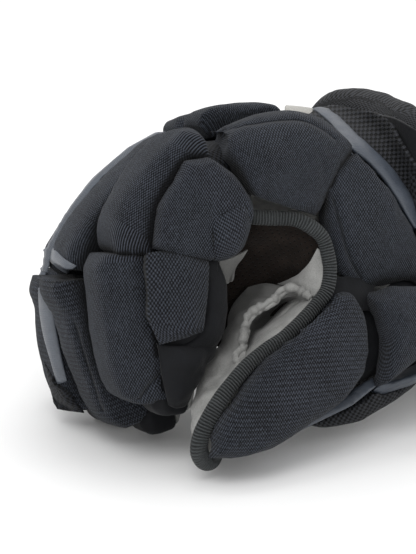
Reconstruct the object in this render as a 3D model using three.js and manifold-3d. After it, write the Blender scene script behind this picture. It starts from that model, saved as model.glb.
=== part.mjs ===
// Right-hand hockey glove, fingers curled, lying palm down. Millimetres, +Z up.
// It is shaped in the hand's own frame: fingers towards -X, cuff towards +X, thumb side towards -Y,
// with X = 0 just behind the knuckles and Z = 0 at the height of the curled finger joints.
// The last section turns the finished glove so that it lies on thumb tip, fingertips and cuff.
import * as THREE from "three";
import { mergeVertices } from "three/addons/utils/BufferGeometryUtils.js";
import Module from "manifold-3d";

const wasm = await Module();
wasm.setup();

// Driving dimensions

const wall = 2; // leather and cloth of the inner glove
const clearance = 0.3; // between pieces that touch
const sink = 9; // how far a pad's raw form reaches below its seat before the seat is cut
const minimumCut = 1e-3;

const palmFront = -30; // x of the inner glove's front end, before the finger openings are cut
const palmLength = 160; // from there to the end of the wrist sleeve
const palmWidth = 106;
const palmDepth = 66;
const palmSeam = -0.34; // height of the seam between palm and back, as a share of the half depth

const fingerPitch = 28.5;
const stallWidth = 25.5;
const stallDepth = 29;
const stallCorner = 6;
const stallSeam = -0.45;
const tipTaper = 0.8;
const tipRound = 11;

const thumbWidth = 36; // across the thumb, along Y
const thumbSeam = 0.1;

const knucklePad = 16; // thickness of the first row of finger rolls
const tipPad = 22; // thickness of the second row
const rollWidth = 27.6;
const sidePad = 11;
const sideLayer = 3.5;
const backhandPad = 15;
const wristPad = 16;
const thumbPad = 13;
const meshPad = 4;
const stripShare = 0.42; // width of the glossy strip on a finger roll, as a share of the roll
const stripProud = 1.4;
const stripWidth = 8;
const bandPad = 9; // pale band across the back of the hand
const bindingWidth = 7.5;
const bindingThickness = 5;
const webThickness = 2.4; // of the gusset and the suede between thumb and palm

const cuffFront = 90;
const cuffLength = 105;
const cuffPad = 13;
const cuffBand = 3.6;
const cuffRollRadius = 9;
const cuffWristHalf = 46.4;
const cuffMouthHalf = 66;
const cuffWristRise = 45;
const cuffMouthRise = 50;
const cuffWristDrop = 34;
const cuffMouthDrop = 54;
const cuffGap = 1.2; // between neighbouring cuff panels, in degrees

const floorLean = 11; // the hand leans towards its little finger by this angle
const floorPitch = 4.8;
const floorFlat = 1.6; // depth to which leather and cloth flatten where the glove rests

// One row a finger: lengths in mm, angles in degrees below the line from wrist to knuckles.
const fingers = [
  { name: "index", slot: -1.5, knuckleX: -19, knuckleZ: 53, first: 43, firstAngle: 56, second: 73, secondAngle: 92 },
  { name: "middle", slot: -0.5, knuckleX: -16.5, knuckleZ: 48, first: 50, firstAngle: 43, second: 85, secondAngle: 104 },
  { name: "ring", slot: 0.5, knuckleX: -11, knuckleZ: 43, first: 49, firstAngle: 45, second: 76, secondAngle: 91 },
  { name: "pinky", slot: 1.5, knuckleX: -3, knuckleZ: 37, first: 38, firstAngle: 45, second: 64, secondAngle: 97 },
];

// Sections of the inner glove: along as a share of the palm's length, rise, across and depth as shares
// of the palm's depth and width, lean in degrees.
const palmSections = [
  { along: 0, rise: 0.7, width: 0.99, depth: 0.48, across: 0, lean: -10 },
  { along: 0.19, rise: 0.72, width: 1, depth: 0.5, across: 0, lean: -9 },
  { along: 0.325, rise: 0.7, width: 0.99, depth: 0.606, across: 0, lean: -6 },
  { along: 0.4, rise: 0.61, width: 0.97, depth: 0.82, across: 0, lean: -2 },
  { along: 0.469, rise: 0.515, width: 0.95, depth: 1.03, across: 0, lean: 2 },
  { along: 0.656, rise: 0.424, width: 0.9, depth: 1.09, across: 0.02, lean: 8 },
  { along: 0.844, rise: 0.303, width: 0.85, depth: 1, across: 0.04, lean: 12 },
  { along: 1, rise: 0.242, width: 0.85, depth: 0.94, across: 0.05, lean: 14 },
];

// Sections of the thumb from its root to its tip. Places are mm in the hand's frame.
const thumbRoot = { x: 92, y: -36, z: 15 };
const thumbTip = { x: -36, y: -62, z: -75 };
const thumbHalf = 33;
const thumbSections = [
  { along: 0, sag: -0.12, height: 0.76, width: 0.86 },
  { along: 0.2, sag: -0.08, height: 1, width: 0.98 },
  { along: 0.4, sag: -0.03, height: 0.87, width: 1.04 },
  { along: 0.63, sag: 0, height: 0.64, width: 1.02 },
  { along: 0.82, sag: 0.008, height: 0.51, width: 0.92 },
  { along: 0.94, sag: 0, height: 0.39, width: 0.8 },
  { along: 1, sag: 0, height: 0.26, width: 0.56 },
];

// Colours and finishes

const finishes = {
  knit: { color: 0x24262b, roughness: 0.9 },
  mesh: { color: 0x1b1d20, roughness: 0.8 },
  cloth: { color: 0x1e2024, roughness: 0.85 },
  suede: { color: 0x9b9b98, roughness: 0.95 },
  webbing: { color: 0x2a2d2e, roughness: 0.8 },
  strip: { color: 0x4a525c, roughness: 0.45 },
  accent: { color: 0xaaa8a2, roughness: 0.6 },
  gusset: { color: 0x2b2623, roughness: 0.95 },
};

// Small geometry helpers

const at = (x, y, z) => new THREE.Vector3(x, y, z);
const radians = THREE.MathUtils.degToRad;
const mix = THREE.MathUtils.lerp;
const sum = (base, ...terms) => terms.reduce((p, [v, k]) => p.addScaledVector(v, k), base.clone());

// Closed geometry through rings of equal point counts, with a fan over each end ring.
function ringGeometry(rings, caps = []) {
  const count = rings[0].length;
  const points = rings.flat();
  const middle = (ring) => ring.reduce((p, q) => p.add(q), at(0, 0, 0)).divideScalar(count);
  const ends = [caps[0] ?? middle(rings[0]), caps[1] ?? middle(rings.at(-1))];
  const faces = [];
  for (let r = 0; r + 1 < rings.length; r++) {
    for (let i = 0; i < count; i++) {
      const j = (i + 1) % count;
      const a = r * count;
      const b = a + count;
      faces.push(a + i, a + j, b + j, a + i, b + j, b + i);
    }
  }
  const last = (rings.length - 1) * count;
  for (let i = 0; i < count; i++) {
    const j = (i + 1) % count;
    faces.push(points.length, j, i);
    faces.push(points.length + 1, last + i, last + j);
  }
  return new THREE.BufferGeometry().setFromPoints([...points, ...ends]).setIndex(faces);
}

// Solid of a closed geometry, turned the right way round where its rings run backwards.
function toSolid(geometry) {
  const merged = mergeVertices(geometry, minimumCut);
  const vertProperties = merged.attributes.position.array;
  const build = (triVerts) => new wasm.Manifold(new wasm.Mesh({ numProp: 3, vertProperties, triVerts }));
  const triangles = new Uint32Array(merged.index.array);
  const made = build(triangles);
  if (made.volume() >= 0) return made;
  for (let i = 0; i < triangles.length; i += 3) {
    [triangles[i + 1], triangles[i + 2]] = [triangles[i + 2], triangles[i + 1]];
  }
  return build(triangles);
}

const loft = (rings, caps) => toSolid(ringGeometry(rings, caps));
const union = (solids) => solids.reduce((a, b) => a.add(b));

// Point of a squared oval: angle 0 lies towards -Y, 90 towards the top.
function oval(angle, halfWidth, halfHeight, power) {
  const c = Math.cos(radians(angle));
  const s = Math.sin(radians(angle));
  const across = Math.sign(c) * Math.abs(c) ** (2 / power) * halfWidth;
  const up = Math.sign(s) * Math.abs(s) ** (2 / power) * halfHeight;
  return [-across, up];
}

// Row of a table of sections at any place along it, worked out between its neighbours.
function between(table, along) {
  const last = table.length - 1;
  let i = 0;
  while (i < last - 1 && table[i + 1].along < along) i++;
  const [a, b] = [table[i], table[i + 1]];
  const t = (along - a.along) / (b.along - a.along);
  return Object.fromEntries(Object.keys(a).map((key) => [key, mix(a[key], b[key], t)]));
}

// Inner glove: palm, back and wrist sleeve

const palmSides = 20;
const palmPower = 3;

function palmPoint(x, angle, height) {
  const row = between(palmSections, (x - palmFront) / palmLength);
  const lean = radians(row.lean);
  const across = at(0, Math.cos(lean), Math.sin(lean));
  const up = at(0, -Math.sin(lean), Math.cos(lean));
  const [u, v] = oval(angle, (palmWidth * row.width) / 2 + height, (palmDepth * row.depth) / 2 + height, palmPower);
  return sum(at(x, palmWidth * row.across, palmDepth * row.rise), [across, u], [up, v]);
}

function palmBody(grow, reach = 0) {
  const rings = palmSections.map(({ along }, i) => {
    const end = i === 0 ? -reach : i === palmSections.length - 1 ? reach : 0;
    return Array.from({ length: palmSides }, (_, k) => {
      const point = palmPoint(palmFront + palmLength * along, ((k + 0.5) * 360) / palmSides, grow);
      return point.add(at(end, 0, 0));
    });
  });
  return loft(rings);
}

// Everything below the seam that runs round the palm's edge.
function palmLower(grow) {
  const wide = palmWidth;
  const rings = palmSections.map((row, i) => {
    const end = i === 0 ? -wide : i === palmSections.length - 1 ? wide : 0;
    const lean = radians(row.lean);
    const across = at(0, Math.cos(lean), Math.sin(lean));
    const up = at(0, -Math.sin(lean), Math.cos(lean));
    const centre = at(palmFront + palmLength * row.along + end, palmWidth * row.across, palmDepth * row.rise);
    const seam = (palmSeam * palmDepth * row.depth) / 2 + grow;
    return [
      sum(centre, [across, -wide], [up, seam]),
      sum(centre, [across, wide], [up, seam]),
      sum(centre, [across, wide], [up, -wide]),
      sum(centre, [across, -wide], [up, -wide]),
    ];
  });
  return loft(rings);
}

// Finger stalls

// Route of a finger in the XZ plane, with the mitred normal at each of its joints.
function fingerRoute(finger) {
  const step = (angle, length) => at(-Math.cos(radians(angle)) * length, 0, -Math.sin(radians(angle)) * length);
  const y = finger.slot * fingerPitch;
  const knuckle = at(finger.knuckleX, y, finger.knuckleZ);
  const joint = knuckle.clone().add(step(finger.firstAngle, finger.first));
  const end = joint.clone().add(step(finger.secondAngle, finger.second));
  const upFrom = (angle) => at(-Math.sin(radians(angle)), 0, Math.cos(radians(angle)));
  const mitre = (a, b) => upFrom((a + b) / 2).divideScalar(Math.cos(radians((b - a) / 2)));
  return {
    y,
    knuckle,
    joint,
    end,
    upKnuckle: mitre(0, finger.firstAngle),
    upFirst: upFrom(finger.firstAngle),
    upJoint: mitre(finger.firstAngle, finger.secondAngle),
    upSecond: upFrom(finger.secondAngle),
    alongFirst: step(finger.firstAngle, 1),
    alongSecond: step(finger.secondAngle, 1),
  };
}

// Section of a stall: a box with cut corners.
function stallRing(centre, up, grow, share = 1) {
  const half = (stallWidth * (share + 1)) / 4 + grow;
  const high = (stallDepth * share) / 2 + grow;
  const cut = stallCorner * share;
  const across = at(0, 1, 0);
  const corners = [
    [-half, -high + cut],
    [-half, high - cut],
    [-half + cut, high],
    [half - cut, high],
    [half, high - cut],
    [half, -high + cut],
    [half - cut, -high],
    [-half + cut, -high],
  ];
  return corners.map(([u, v]) => sum(centre, [across, u], [up, v]));
}

function stallBody(finger, grow, reach = 0) {
  const route = fingerRoute(finger);
  const back = sum(route.knuckle, [route.alongFirst, -reach]);
  const shoulder = sum(route.end, [route.alongSecond, -tipRound]);
  const tip = sum(route.end, [route.alongSecond, grow]);
  return loft([
    stallRing(back, route.upKnuckle, grow),
    stallRing(sum(route.joint), route.upJoint, grow, 1),
    stallRing(shoulder, route.upSecond, grow, tipTaper),
    stallRing(sum(route.end, [route.alongSecond, -tipRound * 0.3 + grow]), route.upSecond, grow, tipTaper * 0.84),
    stallRing(tip, route.upSecond, grow, tipTaper * 0.52),
  ]);
}

// The space in front of a finger's knuckle, as wide as its slot, which the palm is cut back from.
function fingerSpace(finger, grow) {
  const route = fingerRoute(finger);
  const half = fingerPitch / 2 - clearance;
  const near = finger === fingers[0] ? -palmWidth : route.y - half - grow;
  const far = finger === fingers.at(-1) ? palmWidth : route.y + half + grow;
  const reach = stallDepth * 1.1;
  const ring = (centre, up) =>
    [
      [near, -reach],
      [near, reach],
      [far, reach],
      [far, -reach],
    ].map(([y, v]) => sum(centre, [up, v]).setY(y));
  const start = sum(route.knuckle, [route.alongFirst, -grow]);
  return loft([ring(start, route.upKnuckle), ring(sum(route.joint), route.upJoint)]);
}

// The palm side of a finger, from its seam down.
function stallLower(finger, grow) {
  const route = fingerRoute(finger);
  const half = stallWidth;
  const ring = (centre, up) => {
    const seam = (stallSeam * stallDepth) / 2 + grow;
    return [
      [-half, seam],
      [half, seam],
      [half, -stallDepth],
      [-half, -stallDepth],
    ].map(([u, v]) => sum(centre, [at(0, 1, 0), u], [up, v]));
  };
  return loft([
    ring(sum(route.knuckle, [route.alongFirst, -stallDepth * 0.2]), route.upKnuckle),
    ring(sum(route.joint), route.upJoint),
    ring(sum(route.end, [route.alongSecond, stallDepth]), route.upSecond),
  ]);
}

// Thumb stall

const thumbSides = 14;
const thumbPower = 2.8;
const thumbAxis = at(thumbTip.x - thumbRoot.x, 0, thumbTip.z - thumbRoot.z).normalize();
const thumbUp = at(thumbAxis.z, 0, -thumbAxis.x);
const thumbReach = Math.hypot(thumbTip.x - thumbRoot.x, thumbTip.z - thumbRoot.z);

function thumbCentre(along, sag) {
  const start = at(thumbRoot.x, thumbRoot.y, thumbRoot.z);
  const y = (thumbTip.y - thumbRoot.y) * along;
  return sum(start, [thumbAxis, along * thumbReach], [thumbUp, sag * thumbReach], [at(0, 1, 0), y]);
}

// Point on or above the thumb: across runs from -1 at its outer edge to 1 at the edge by the palm.
function thumbFace(along, across, height) {
  const row = between(thumbSections, along);
  const half = thumbHalf * row.height;
  const side = (thumbWidth * row.width) / 2;
  const round = (1 - Math.min(1, Math.abs(across)) ** 5) ** 0.35;
  const centre = thumbCentre(along, row.sag);
  return sum(centre, [thumbUp, across * half], [at(0, -1, 0), side * mix(0.55, 1, round) + height]);
}

function thumbBody(grow) {
  const rings = thumbSections.map((row, i) => {
    const end = i === thumbSections.length - 1 ? grow : 0;
    const centre = sum(thumbCentre(row.along, row.sag), [thumbAxis, end]);
    return Array.from({ length: thumbSides }, (_, k) => {
      const angle = ((k + 0.5) * 360) / thumbSides;
      const [u, v] = oval(angle, (thumbWidth * row.width) / 2 + grow, thumbHalf * row.height + grow, thumbPower);
      return sum(centre, [at(0, 1, 0), u], [thumbUp, v]);
    });
  });
  return loft(rings);
}

// The side of the thumb that faces the palm, from its seam up.
function thumbInner(grow) {
  const wide = thumbHalf * 2;
  const rings = [-0.3, 0.5, 1.4].map((along) => {
    const centre = thumbCentre(along, 0);
    const seam = thumbSeam * thumbHalf - grow;
    return [
      [-wide, seam],
      [wide, seam],
      [wide, wide],
      [-wide, wide],
    ].map(([u, v]) => sum(centre, [at(0, 1, 0), u], [thumbUp, v]));
  });
  return loft(rings);
}

// Padding: every pad is a crowned raw form that is then cut to its seat and clear of earlier pads

// Section of a roll: shares of its width and thickness, from one foot over the crown to the other.
const rollSection = [
  { across: -0.5, up: 0.55 },
  { across: -0.47, up: 0.82 },
  { across: -0.36, up: 0.97 },
  { across: 0, up: 1.02 },
  { across: 0.36, up: 0.97 },
  { across: 0.47, up: 0.82 },
  { across: 0.5, up: 0.55 },
];

// One station of a roll: foot is the middle of its seat, up its height direction.
function rollRing({ foot, up, width, thickness }, grow) {
  const across = at(0, 1, 0);
  const side = width / 2 + grow;
  const rise = thickness + grow;
  const tops = rollSection.map((row) => sum(foot, [across, row.across * 2 * side], [up, row.up * rise]));
  return [sum(foot, [across, -side], [up, -sink]), ...tops, sum(foot, [across, side], [up, -sink])];
}

const roll = (stations, grow) => loft(stations.map((station) => rollRing(station, grow)));

// First row: from the middle joint up the finger and over its knuckle. A strip on a roll follows the
// same stations, narrower and prouder.
function knuckleRoll(finger, grow, share = 1, proud = 0) {
  const route = fingerRoute(finger);
  const seat = (centre, up) => sum(centre, [up, stallDepth / 2]);
  const joint = seat(route.joint, route.upJoint);
  const knuckle = seat(route.knuckle, route.upKnuckle);
  const rise = at(0, 0, 1);
  const slack = grow / finger.first;
  const station = (foot, up, width, thickness) => ({
    foot,
    up,
    width: rollWidth * width * share,
    thickness: knucklePad * thickness + proud,
  });
  const lean = (share) => route.upJoint.clone().lerp(route.upFirst, share);
  return roll(
    [
      station(joint.clone().lerp(knuckle, 0.015 - slack), route.upJoint, 0.92, 0.8),
      station(joint.clone().lerp(knuckle, 0.14), lean(0.3), 1, 1),
      station(joint.clone().lerp(knuckle, 0.55), route.upFirst, 1, 1.02),
      station(joint.clone().lerp(knuckle, 0.86), route.upFirst, 1, 0.84),
      station(sum(knuckle, [at(1, 0, 0), 2]), route.upKnuckle, 1, 0.6),
      station(sum(knuckle, [at(1, 0, 0), rollWidth * 0.34]), rise, 0.98, 0.6),
      station(sum(knuckle, [at(1, 0, 0), rollWidth * 0.46 + grow]), rise, 0.9, 0.3),
    ],
    grow,
  );
}

// Second row: from the middle joint down to the fingertip.
function tipRoll(finger, grow, share = 1, proud = 0) {
  const route = fingerRoute(finger);
  const joint = sum(route.joint, [route.upJoint, stallDepth / 2]);
  const end = sum(route.end, [route.upSecond, (stallDepth * tipTaper) / 2]);
  const slack = grow / finger.second;
  const station = (along, up, width, thickness) => ({
    foot: joint.clone().lerp(end, along),
    up,
    width: rollWidth * width * share,
    thickness: tipPad * thickness + proud,
  });
  const lean = (share) => route.upJoint.clone().lerp(route.upSecond, share);
  return roll(
    [
      station(0.01 - slack, route.upJoint, 0.92, 0.76),
      station(0.09, lean(0.35), 1, 0.98),
      station(0.45, route.upSecond, 1, 1),
      station(0.74, route.upSecond, 0.98, 0.86),
      station(0.86, route.upSecond, 0.93, 0.7),
      station(0.925 + slack, route.upSecond, 0.78, 0.34),
    ],
    grow,
  );
}

// Crowned pad of any outline. place(a, b, height) gives its points, and the outline is in a and b.
function quilt(outline, place, thickness, grow, unit, crown = 0.6) {
  const middle = [0, 1].map((k) => outline.reduce((total, p) => total + p[k], 0) / outline.length);
  const inset = (share, height) =>
    outline.map(([a, b]) => {
      const away = [(a - middle[0]) / unit[0], (b - middle[1]) / unit[1]];
      const scale = share + grow / Math.hypot(...away);
      return place(middle[0] + (a - middle[0]) * scale, middle[1] + (b - middle[1]) * scale, height);
    });
  const rings = [
    inset(1, -sink),
    inset(1, 0.5 * thickness),
    inset(0.955, 0.84 * thickness),
    inset(0.84, thickness + grow),
    inset(0.5, (1 + 0.09 * crown) * thickness + grow),
  ];
  const top = place(...middle, (1 + 0.13 * crown) * thickness + grow);
  return loft(rings, [place(...middle, -sink), top]);
}

// Outlines on the palm's surface: along as a share of the palm's length, angle in degrees round it.
const onPalm = (rows) => rows.map(({ along, angle }) => [palmFront + along * palmLength, angle]);
const palmUnit = [1, 180 / (Math.PI * 58)];
const palmQuilt = (rows, thickness, grow, crown) =>
  quilt(onPalm(rows), palmPoint, thickness, grow, palmUnit, crown);

const indexBackhand = [
  { along: 0.035, angle: 55 },
  { along: 0.12, angle: 66 },
  { along: 0.24, angle: 69 },
  { along: 0.36, angle: 66 },
  { along: 0.425, angle: 52 },
  { along: 0.485, angle: 34 },
  { along: 0.43, angle: 8 },
  { along: 0.37, angle: -15 },
  { along: 0.25, angle: -24 },
  { along: 0.13, angle: -22 },
  { along: 0.1, angle: 8 },
  { along: 0.06, angle: 30 },
];

// The other backhand rolls lie side by side on top, a row each: angle is the middle of the roll.
const backhandRows = [
  { name: "middle", angle: 81, half: 9, front: 0.09, back: 0.37 },
  { name: "ring", angle: 101, half: 9.2, front: 0.12, back: 0.38 },
  { name: "pinky", angle: 128, half: 15.5, front: 0.2, back: 0.4 },
];

const backhandOutline = ({ angle, half, front, back }) => [
  { along: front, angle: angle - half * 0.8 },
  { along: mix(front, back, 0.15), angle: angle - half },
  { along: mix(front, back, 0.5), angle: angle - half },
  { along: mix(front, back, 0.85), angle: angle - half },
  { along: back, angle: angle - half * 0.8 },
  { along: back, angle: angle + half * 0.8 },
  { along: mix(front, back, 0.85), angle: angle + half },
  { along: mix(front, back, 0.5), angle: angle + half },
  { along: mix(front, back, 0.15), angle: angle + half },
  { along: front, angle: angle + half * 0.8 },
];

const upperWrist = [
  { along: 0.475, angle: 29 },
  { along: 0.56, angle: 13 },
  { along: 0.67, angle: 1 },
  { along: 0.77, angle: -7 },
  { along: 0.84, angle: -13 },
  { along: 0.77, angle: -17 },
  { along: 0.67, angle: -19 },
  { along: 0.56, angle: -25 },
  { along: 0.45, angle: -32 },
  { along: 0.4, angle: -22 },
  { along: 0.37, angle: -3 },
  { along: 0.42, angle: 12 },
];

const meshPanel = [
  { along: 0.49, angle: 40 },
  { along: 0.47, angle: 66 },
  { along: 0.5, angle: 92 },
  { along: 0.6, angle: 112 },
  { along: 0.8, angle: 112 },
  { along: 0.84, angle: 80 },
  { along: 0.84, angle: 45 },
  { along: 0.83, angle: 8 },
  { along: 0.72, angle: 8 },
  { along: 0.6, angle: 21 },
];

// Pale band across the back of the hand, behind the backhand rolls.
const backhandBand = [
  { along: 0.4, angle: 66 },
  { along: 0.46, angle: 62 },
  { along: 0.485, angle: 100 },
  { along: 0.485, angle: 150 },
  { along: 0.42, angle: 152 },
  { along: 0.41, angle: 110 },
];

// Route of the glossy strip that runs down from the backhand beside the upper wrist pad.
const backhandStripRoute = [
  { along: 0.4, angle: 64 },
  { along: 0.48, angle: 37 },
  { along: 0.57, angle: 20 },
  { along: 0.68, angle: 7 },
  { along: 0.8, angle: -3 },
];

// Outline of a strip of even width along a route.
function stripOutline(route, unit, width) {
  const side = (sign) =>
    route.map((p, i) => {
      const [before, after] = [route[Math.max(0, i - 1)], route[Math.min(route.length - 1, i + 1)]];
      const run = [(after[0] - before[0]) / unit[0], (after[1] - before[1]) / unit[1]];
      const k = (sign * width) / 2 / Math.hypot(...run);
      return [p[0] - run[1] * k * unit[0], p[1] + run[0] * k * unit[1]];
    });
  return [...side(1), ...side(-1).reverse()];
}

// Ribbon along a route on a surface: a low band of even width, built station by station.
function ribbon(route, place, unit, width, low, high, grow) {
  const outline = stripOutline(route, unit, width + 2 * grow);
  const count = route.length;
  const rings = route.map((_, i) => {
    const left = outline[i];
    const right = outline[outline.length - 1 - i];
    const middle = [(left[0] + right[0]) / 2, (left[1] + right[1]) / 2];
    const end = i === 0 || i === count - 1 ? 0.6 : 1;
    const top = mix(low, high, end) + grow;
    return [
      place(...left, low - grow),
      place(...left, mix(low, top, 0.6)),
      place(...middle, top),
      place(...right, mix(low, top, 0.6)),
      place(...right, low - grow),
    ];
  });
  return loft(rings);
}

// Pads on the index finger's side, in shares of the finger's lengths and the stall's depth.
function sidePlace(finger, which) {
  const route = fingerRoute(finger);
  const start = which === "first" ? route.knuckle : route.joint;
  const run = which === "first" ? route.alongFirst : route.alongSecond;
  const up = which === "first" ? route.upFirst : route.upSecond;
  const length = which === "first" ? finger.first : finger.second;
  return (a, b, height) =>
    sum(start, [run, a * length], [up, b * stallDepth], [at(0, -1, 0), stallWidth / 2 + height]);
}

const upperSide = [
  { along: 0.1, up: 0.46 },
  { along: 0.42, up: 0.52 },
  { along: 0.72, up: 0.54 },
  { along: 1.06, up: 0.6 },
  { along: 0.99, up: 0.1 },
  { along: 0.84, up: -0.5 },
  { along: 0.5, up: -0.54 },
  { along: 0.16, up: -0.5 },
  { along: -0.1, up: -0.22 },
  { along: -0.1, up: 0.1 },
];

const lowerSide = [
  { along: -0.08, up: 0.5 },
  { along: 0.2, up: 0.51 },
  { along: 0.4, up: 0.5 },
  { along: 0.56, up: 0.44 },
  { along: 0.57, up: 0 },
  { along: 0.5, up: -0.42 },
  { along: 0.3, up: -0.5 },
  { along: 0.02, up: -0.55 },
  { along: 0.04, up: 0 },
];

// Flat layer under the lower side pad: it shows on the palm side of the pad and below it.
const sideUnderlay = [
  { along: 0.02, up: 0.44 },
  { along: 0.3, up: 0.46 },
  { along: 0.63, up: 0.36 },
  { along: 0.63, up: -0.3 },
  { along: 0.52, up: -0.7 },
  { along: 0.3, up: -0.76 },
  { along: 0.02, up: -0.74 },
  { along: -0.02, up: -0.2 },
];

function sideQuilt(rows, which, thickness, grow) {
  const finger = fingers[0];
  const length = which === "first" ? finger.first : finger.second;
  const outline = rows.map(({ along, up }) => [along, up]);
  return quilt(outline, sidePlace(finger, which), thickness, grow, [1 / length, 1 / stallDepth], 0.5);
}

// Pads on the thumb: along from its root, across from -1 at its outer edge.
const thumbOutline = [
  { along: 0.99, across: 0.1 },
  { along: 0.9, across: 0.6 },
  { along: 0.75, across: 0.74 },
  { along: 0.58, across: 0.8 },
  { along: 0.45, across: 0.84 },
  { along: 0.37, across: 0.84 },
  { along: 0.335, across: 0.64 },
  { along: 0.352, across: 0.15 },
  { along: 0.39, across: -0.25 },
  { along: 0.455, across: -0.62 },
  { along: 0.56, across: -0.86 },
  { along: 0.68, across: -0.9 },
  { along: 0.8, across: -0.9 },
  { along: 0.94, across: -0.72 },
];

const lowerWrist = [
  { along: 0.305, across: 0.76 },
  { along: 0.2, across: 0.64 },
  { along: 0.1, across: 0.42 },
  { along: 0, across: 0.22 },
  { along: -0.08, across: -0.1 },
  { along: -0.07, across: -0.6 },
  { along: 0.08, across: -0.9 },
  { along: 0.2, across: -0.95 },
  { along: 0.33, across: -0.97 },
  { along: 0.415, across: -0.94 },
  { along: 0.38, across: -0.55 },
  { along: 0.335, across: -0.16 },
  { along: 0.312, across: 0.24 },
];

const thumbUnit = [1 / thumbReach, 1 / (thumbHalf * 0.8)];
const onThumb = (rows) => rows.map(({ along, across }) => [along, across]);
const thumbQuilt = (rows, thickness, grow, crown) =>
  quilt(onThumb(rows), thumbFace, thickness, grow, thumbUnit, crown);

const thumbStripRoute = [
  { along: 0.4, across: -0.9 },
  { along: 0.52, across: -0.98 },
  { along: 0.66, across: -1 },
  { along: 0.82, across: -0.98 },
];

const wristStripRoute = [
  { along: 0.42, across: -1.05 },
  { along: 0.3, across: -1.05 },
  { along: 0.18, across: -1.04 },
  { along: 0.06, across: -1 },
  { along: -0.06, across: -0.88 },
];

// Mesh side of thumb and wrist, below the strips: drop is how far it hangs under the thumb's edge, in mm.
const sideMeshSections = [
  { along: 0.66, drop: 4, width: 0.5 },
  { along: 0.6, drop: 12, width: 0.66 },
  { along: 0.5, drop: 16.5, width: 0.78 },
  { along: 0.3, drop: 12.5, width: 0.8 },
  { along: 0.1, drop: 12, width: 0.8 },
  { along: -0.08, drop: 10, width: 0.76 },
];

function sideMesh(grow) {
  const rings = sideMeshSections.map((row, i) => {
    const end = i === 0 ? grow : i === sideMeshSections.length - 1 ? -grow : 0;
    const { sag, height } = between(thumbSections, row.along);
    const low = thumbHalf * height + row.drop;
    const centre = sum(thumbCentre(row.along, sag), [thumbAxis, end], [thumbUp, -low / 2]);
    return Array.from({ length: 10 }, (_, k) => {
      const [u, v] = oval(((k + 0.5) * 360) / 10, (thumbWidth * row.width) / 2 + grow, low / 2 + grow, thumbPower);
      return sum(centre, [at(0, 1, 0), u], [thumbUp, v]);
    });
  });
  return loft(rings);
}

// Ribbed binding: from the index finger's root round the thumb's web and down to the thumb's tip.
// Places of its middle line, in mm.
const bindingSections = [
  { x: -8, z: 36, y: -57 },
  { x: 6, z: 35.5, y: -60 },
  { x: 21, z: 33, y: -62 },
  { x: 33, z: 24, y: -64 },
  { x: 38.5, z: 10, y: -66 },
  { x: 36.5, z: -2, y: -68 },
  { x: 24, z: -13, y: -71 },
  { x: 9, z: -22, y: -74 },
  { x: -7, z: -32, y: -76 },
  { x: -21, z: -43.5, y: -77 },
  { x: -33, z: -58, y: -76 },
  { x: -38.5, z: -69, y: -73 },
  { x: -38.5, z: -77, y: -70 },
  { x: -31, z: -80.5, y: -67 },
];

// Cloth between thumb and palm, a row of three places each: by the binding, half way in, and deepest.
const gussetRows = [
  [at(-9, -50, 31), at(-3, -30, 12), at(0, -24, -6)],
  [at(6, -55, 31), at(10, -38, 12), at(8, -32, -3)],
  [at(20, -58, 28), at(22, -46, 12), at(18, -42, 2)],
  [at(30, -60, 22), at(30, -52, 13), at(27, -51, 8)],
  [at(36, -62, 14), at(36, -59, 13), at(34, -58, 12)],
];

const webRows = [
  [at(34, -58, 10), at(19, -42, -1), at(0, -24, -9)],
  [at(24, -58, 1), at(10, -41, -9), at(-5, -22, -15)],
  [at(11, -57, -10), at(0, -39, -19), at(-11, -26, -26)],
  [at(-2, -56, -22), at(-10, -42, -30), at(-19, -33, -38)],
  [at(-15, -56, -34), at(-19, -48, -40), at(-25, -41, -48)],
];

// Sheet through rows of places, thickened to one side of it.
function web(rows, side, grow) {
  const rings = rows.map((row, i) => {
    const before = rows[Math.max(0, i - 1)];
    const after = rows[Math.min(rows.length - 1, i + 1)];
    const run = after[1].clone().sub(before[1]).normalize();
    const span = row[2].clone().sub(row[0]).normalize();
    const out = run.clone().cross(span).normalize().multiplyScalar(side);
    const end = i === 0 ? -grow : i === rows.length - 1 ? grow : 0;
    const stretched = [sum(row[0], [span, -grow]), row[1], sum(row[2], [span, grow])];
    const placed = stretched.map((point) => sum(point, [run, end]));
    const near = placed.map((point) => sum(point, [out, grow]));
    const far = placed.map((point) => sum(point, [out, -webThickness - grow]));
    return [...near, ...far.reverse()];
  });
  return loft(rings);
}

function binding(grow) {
  const rows = bindingSections;
  const rings = rows.map((row, i) => {
    const before = rows[Math.max(0, i - 1)];
    const after = rows[Math.min(rows.length - 1, i + 1)];
    const run = at(after.x - before.x, 0, after.z - before.z).normalize();
    const side = at(run.z, 0, -run.x);
    const out = at(0, -1, 0);
    const half = bindingWidth / 2 + grow;
    const thick = bindingThickness / 2 + grow;
    const centre = at(row.x, row.y, row.z);
    return [
      [-1, -0.6],
      [-1, 0.35],
      [-0.55, 1],
      [0.55, 1],
      [1, 0.35],
      [1, -0.6],
      [0.5, -1],
      [-0.5, -1],
    ].map(([u, v]) => sum(centre, [side, u * half], [out, v * thick]));
  });
  return loft(rings);
}

// Cuff

const cuffSections = [
  { along: 0, half: 0, rise: 0, drop: 0, across: 0.04, height: 0.32, lean: 13 },
  { along: 0.35, half: 0.2, rise: 0.2, drop: 0.25, across: 0.045, height: 0.26, lean: 14 },
  { along: 0.7, half: 0.6, rise: 0.6, drop: 0.65, across: 0.05, height: 0.17, lean: 14 },
  { along: 1, half: 1, rise: 1, drop: 1, across: 0.055, height: 0.08, lean: 14 },
];

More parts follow.
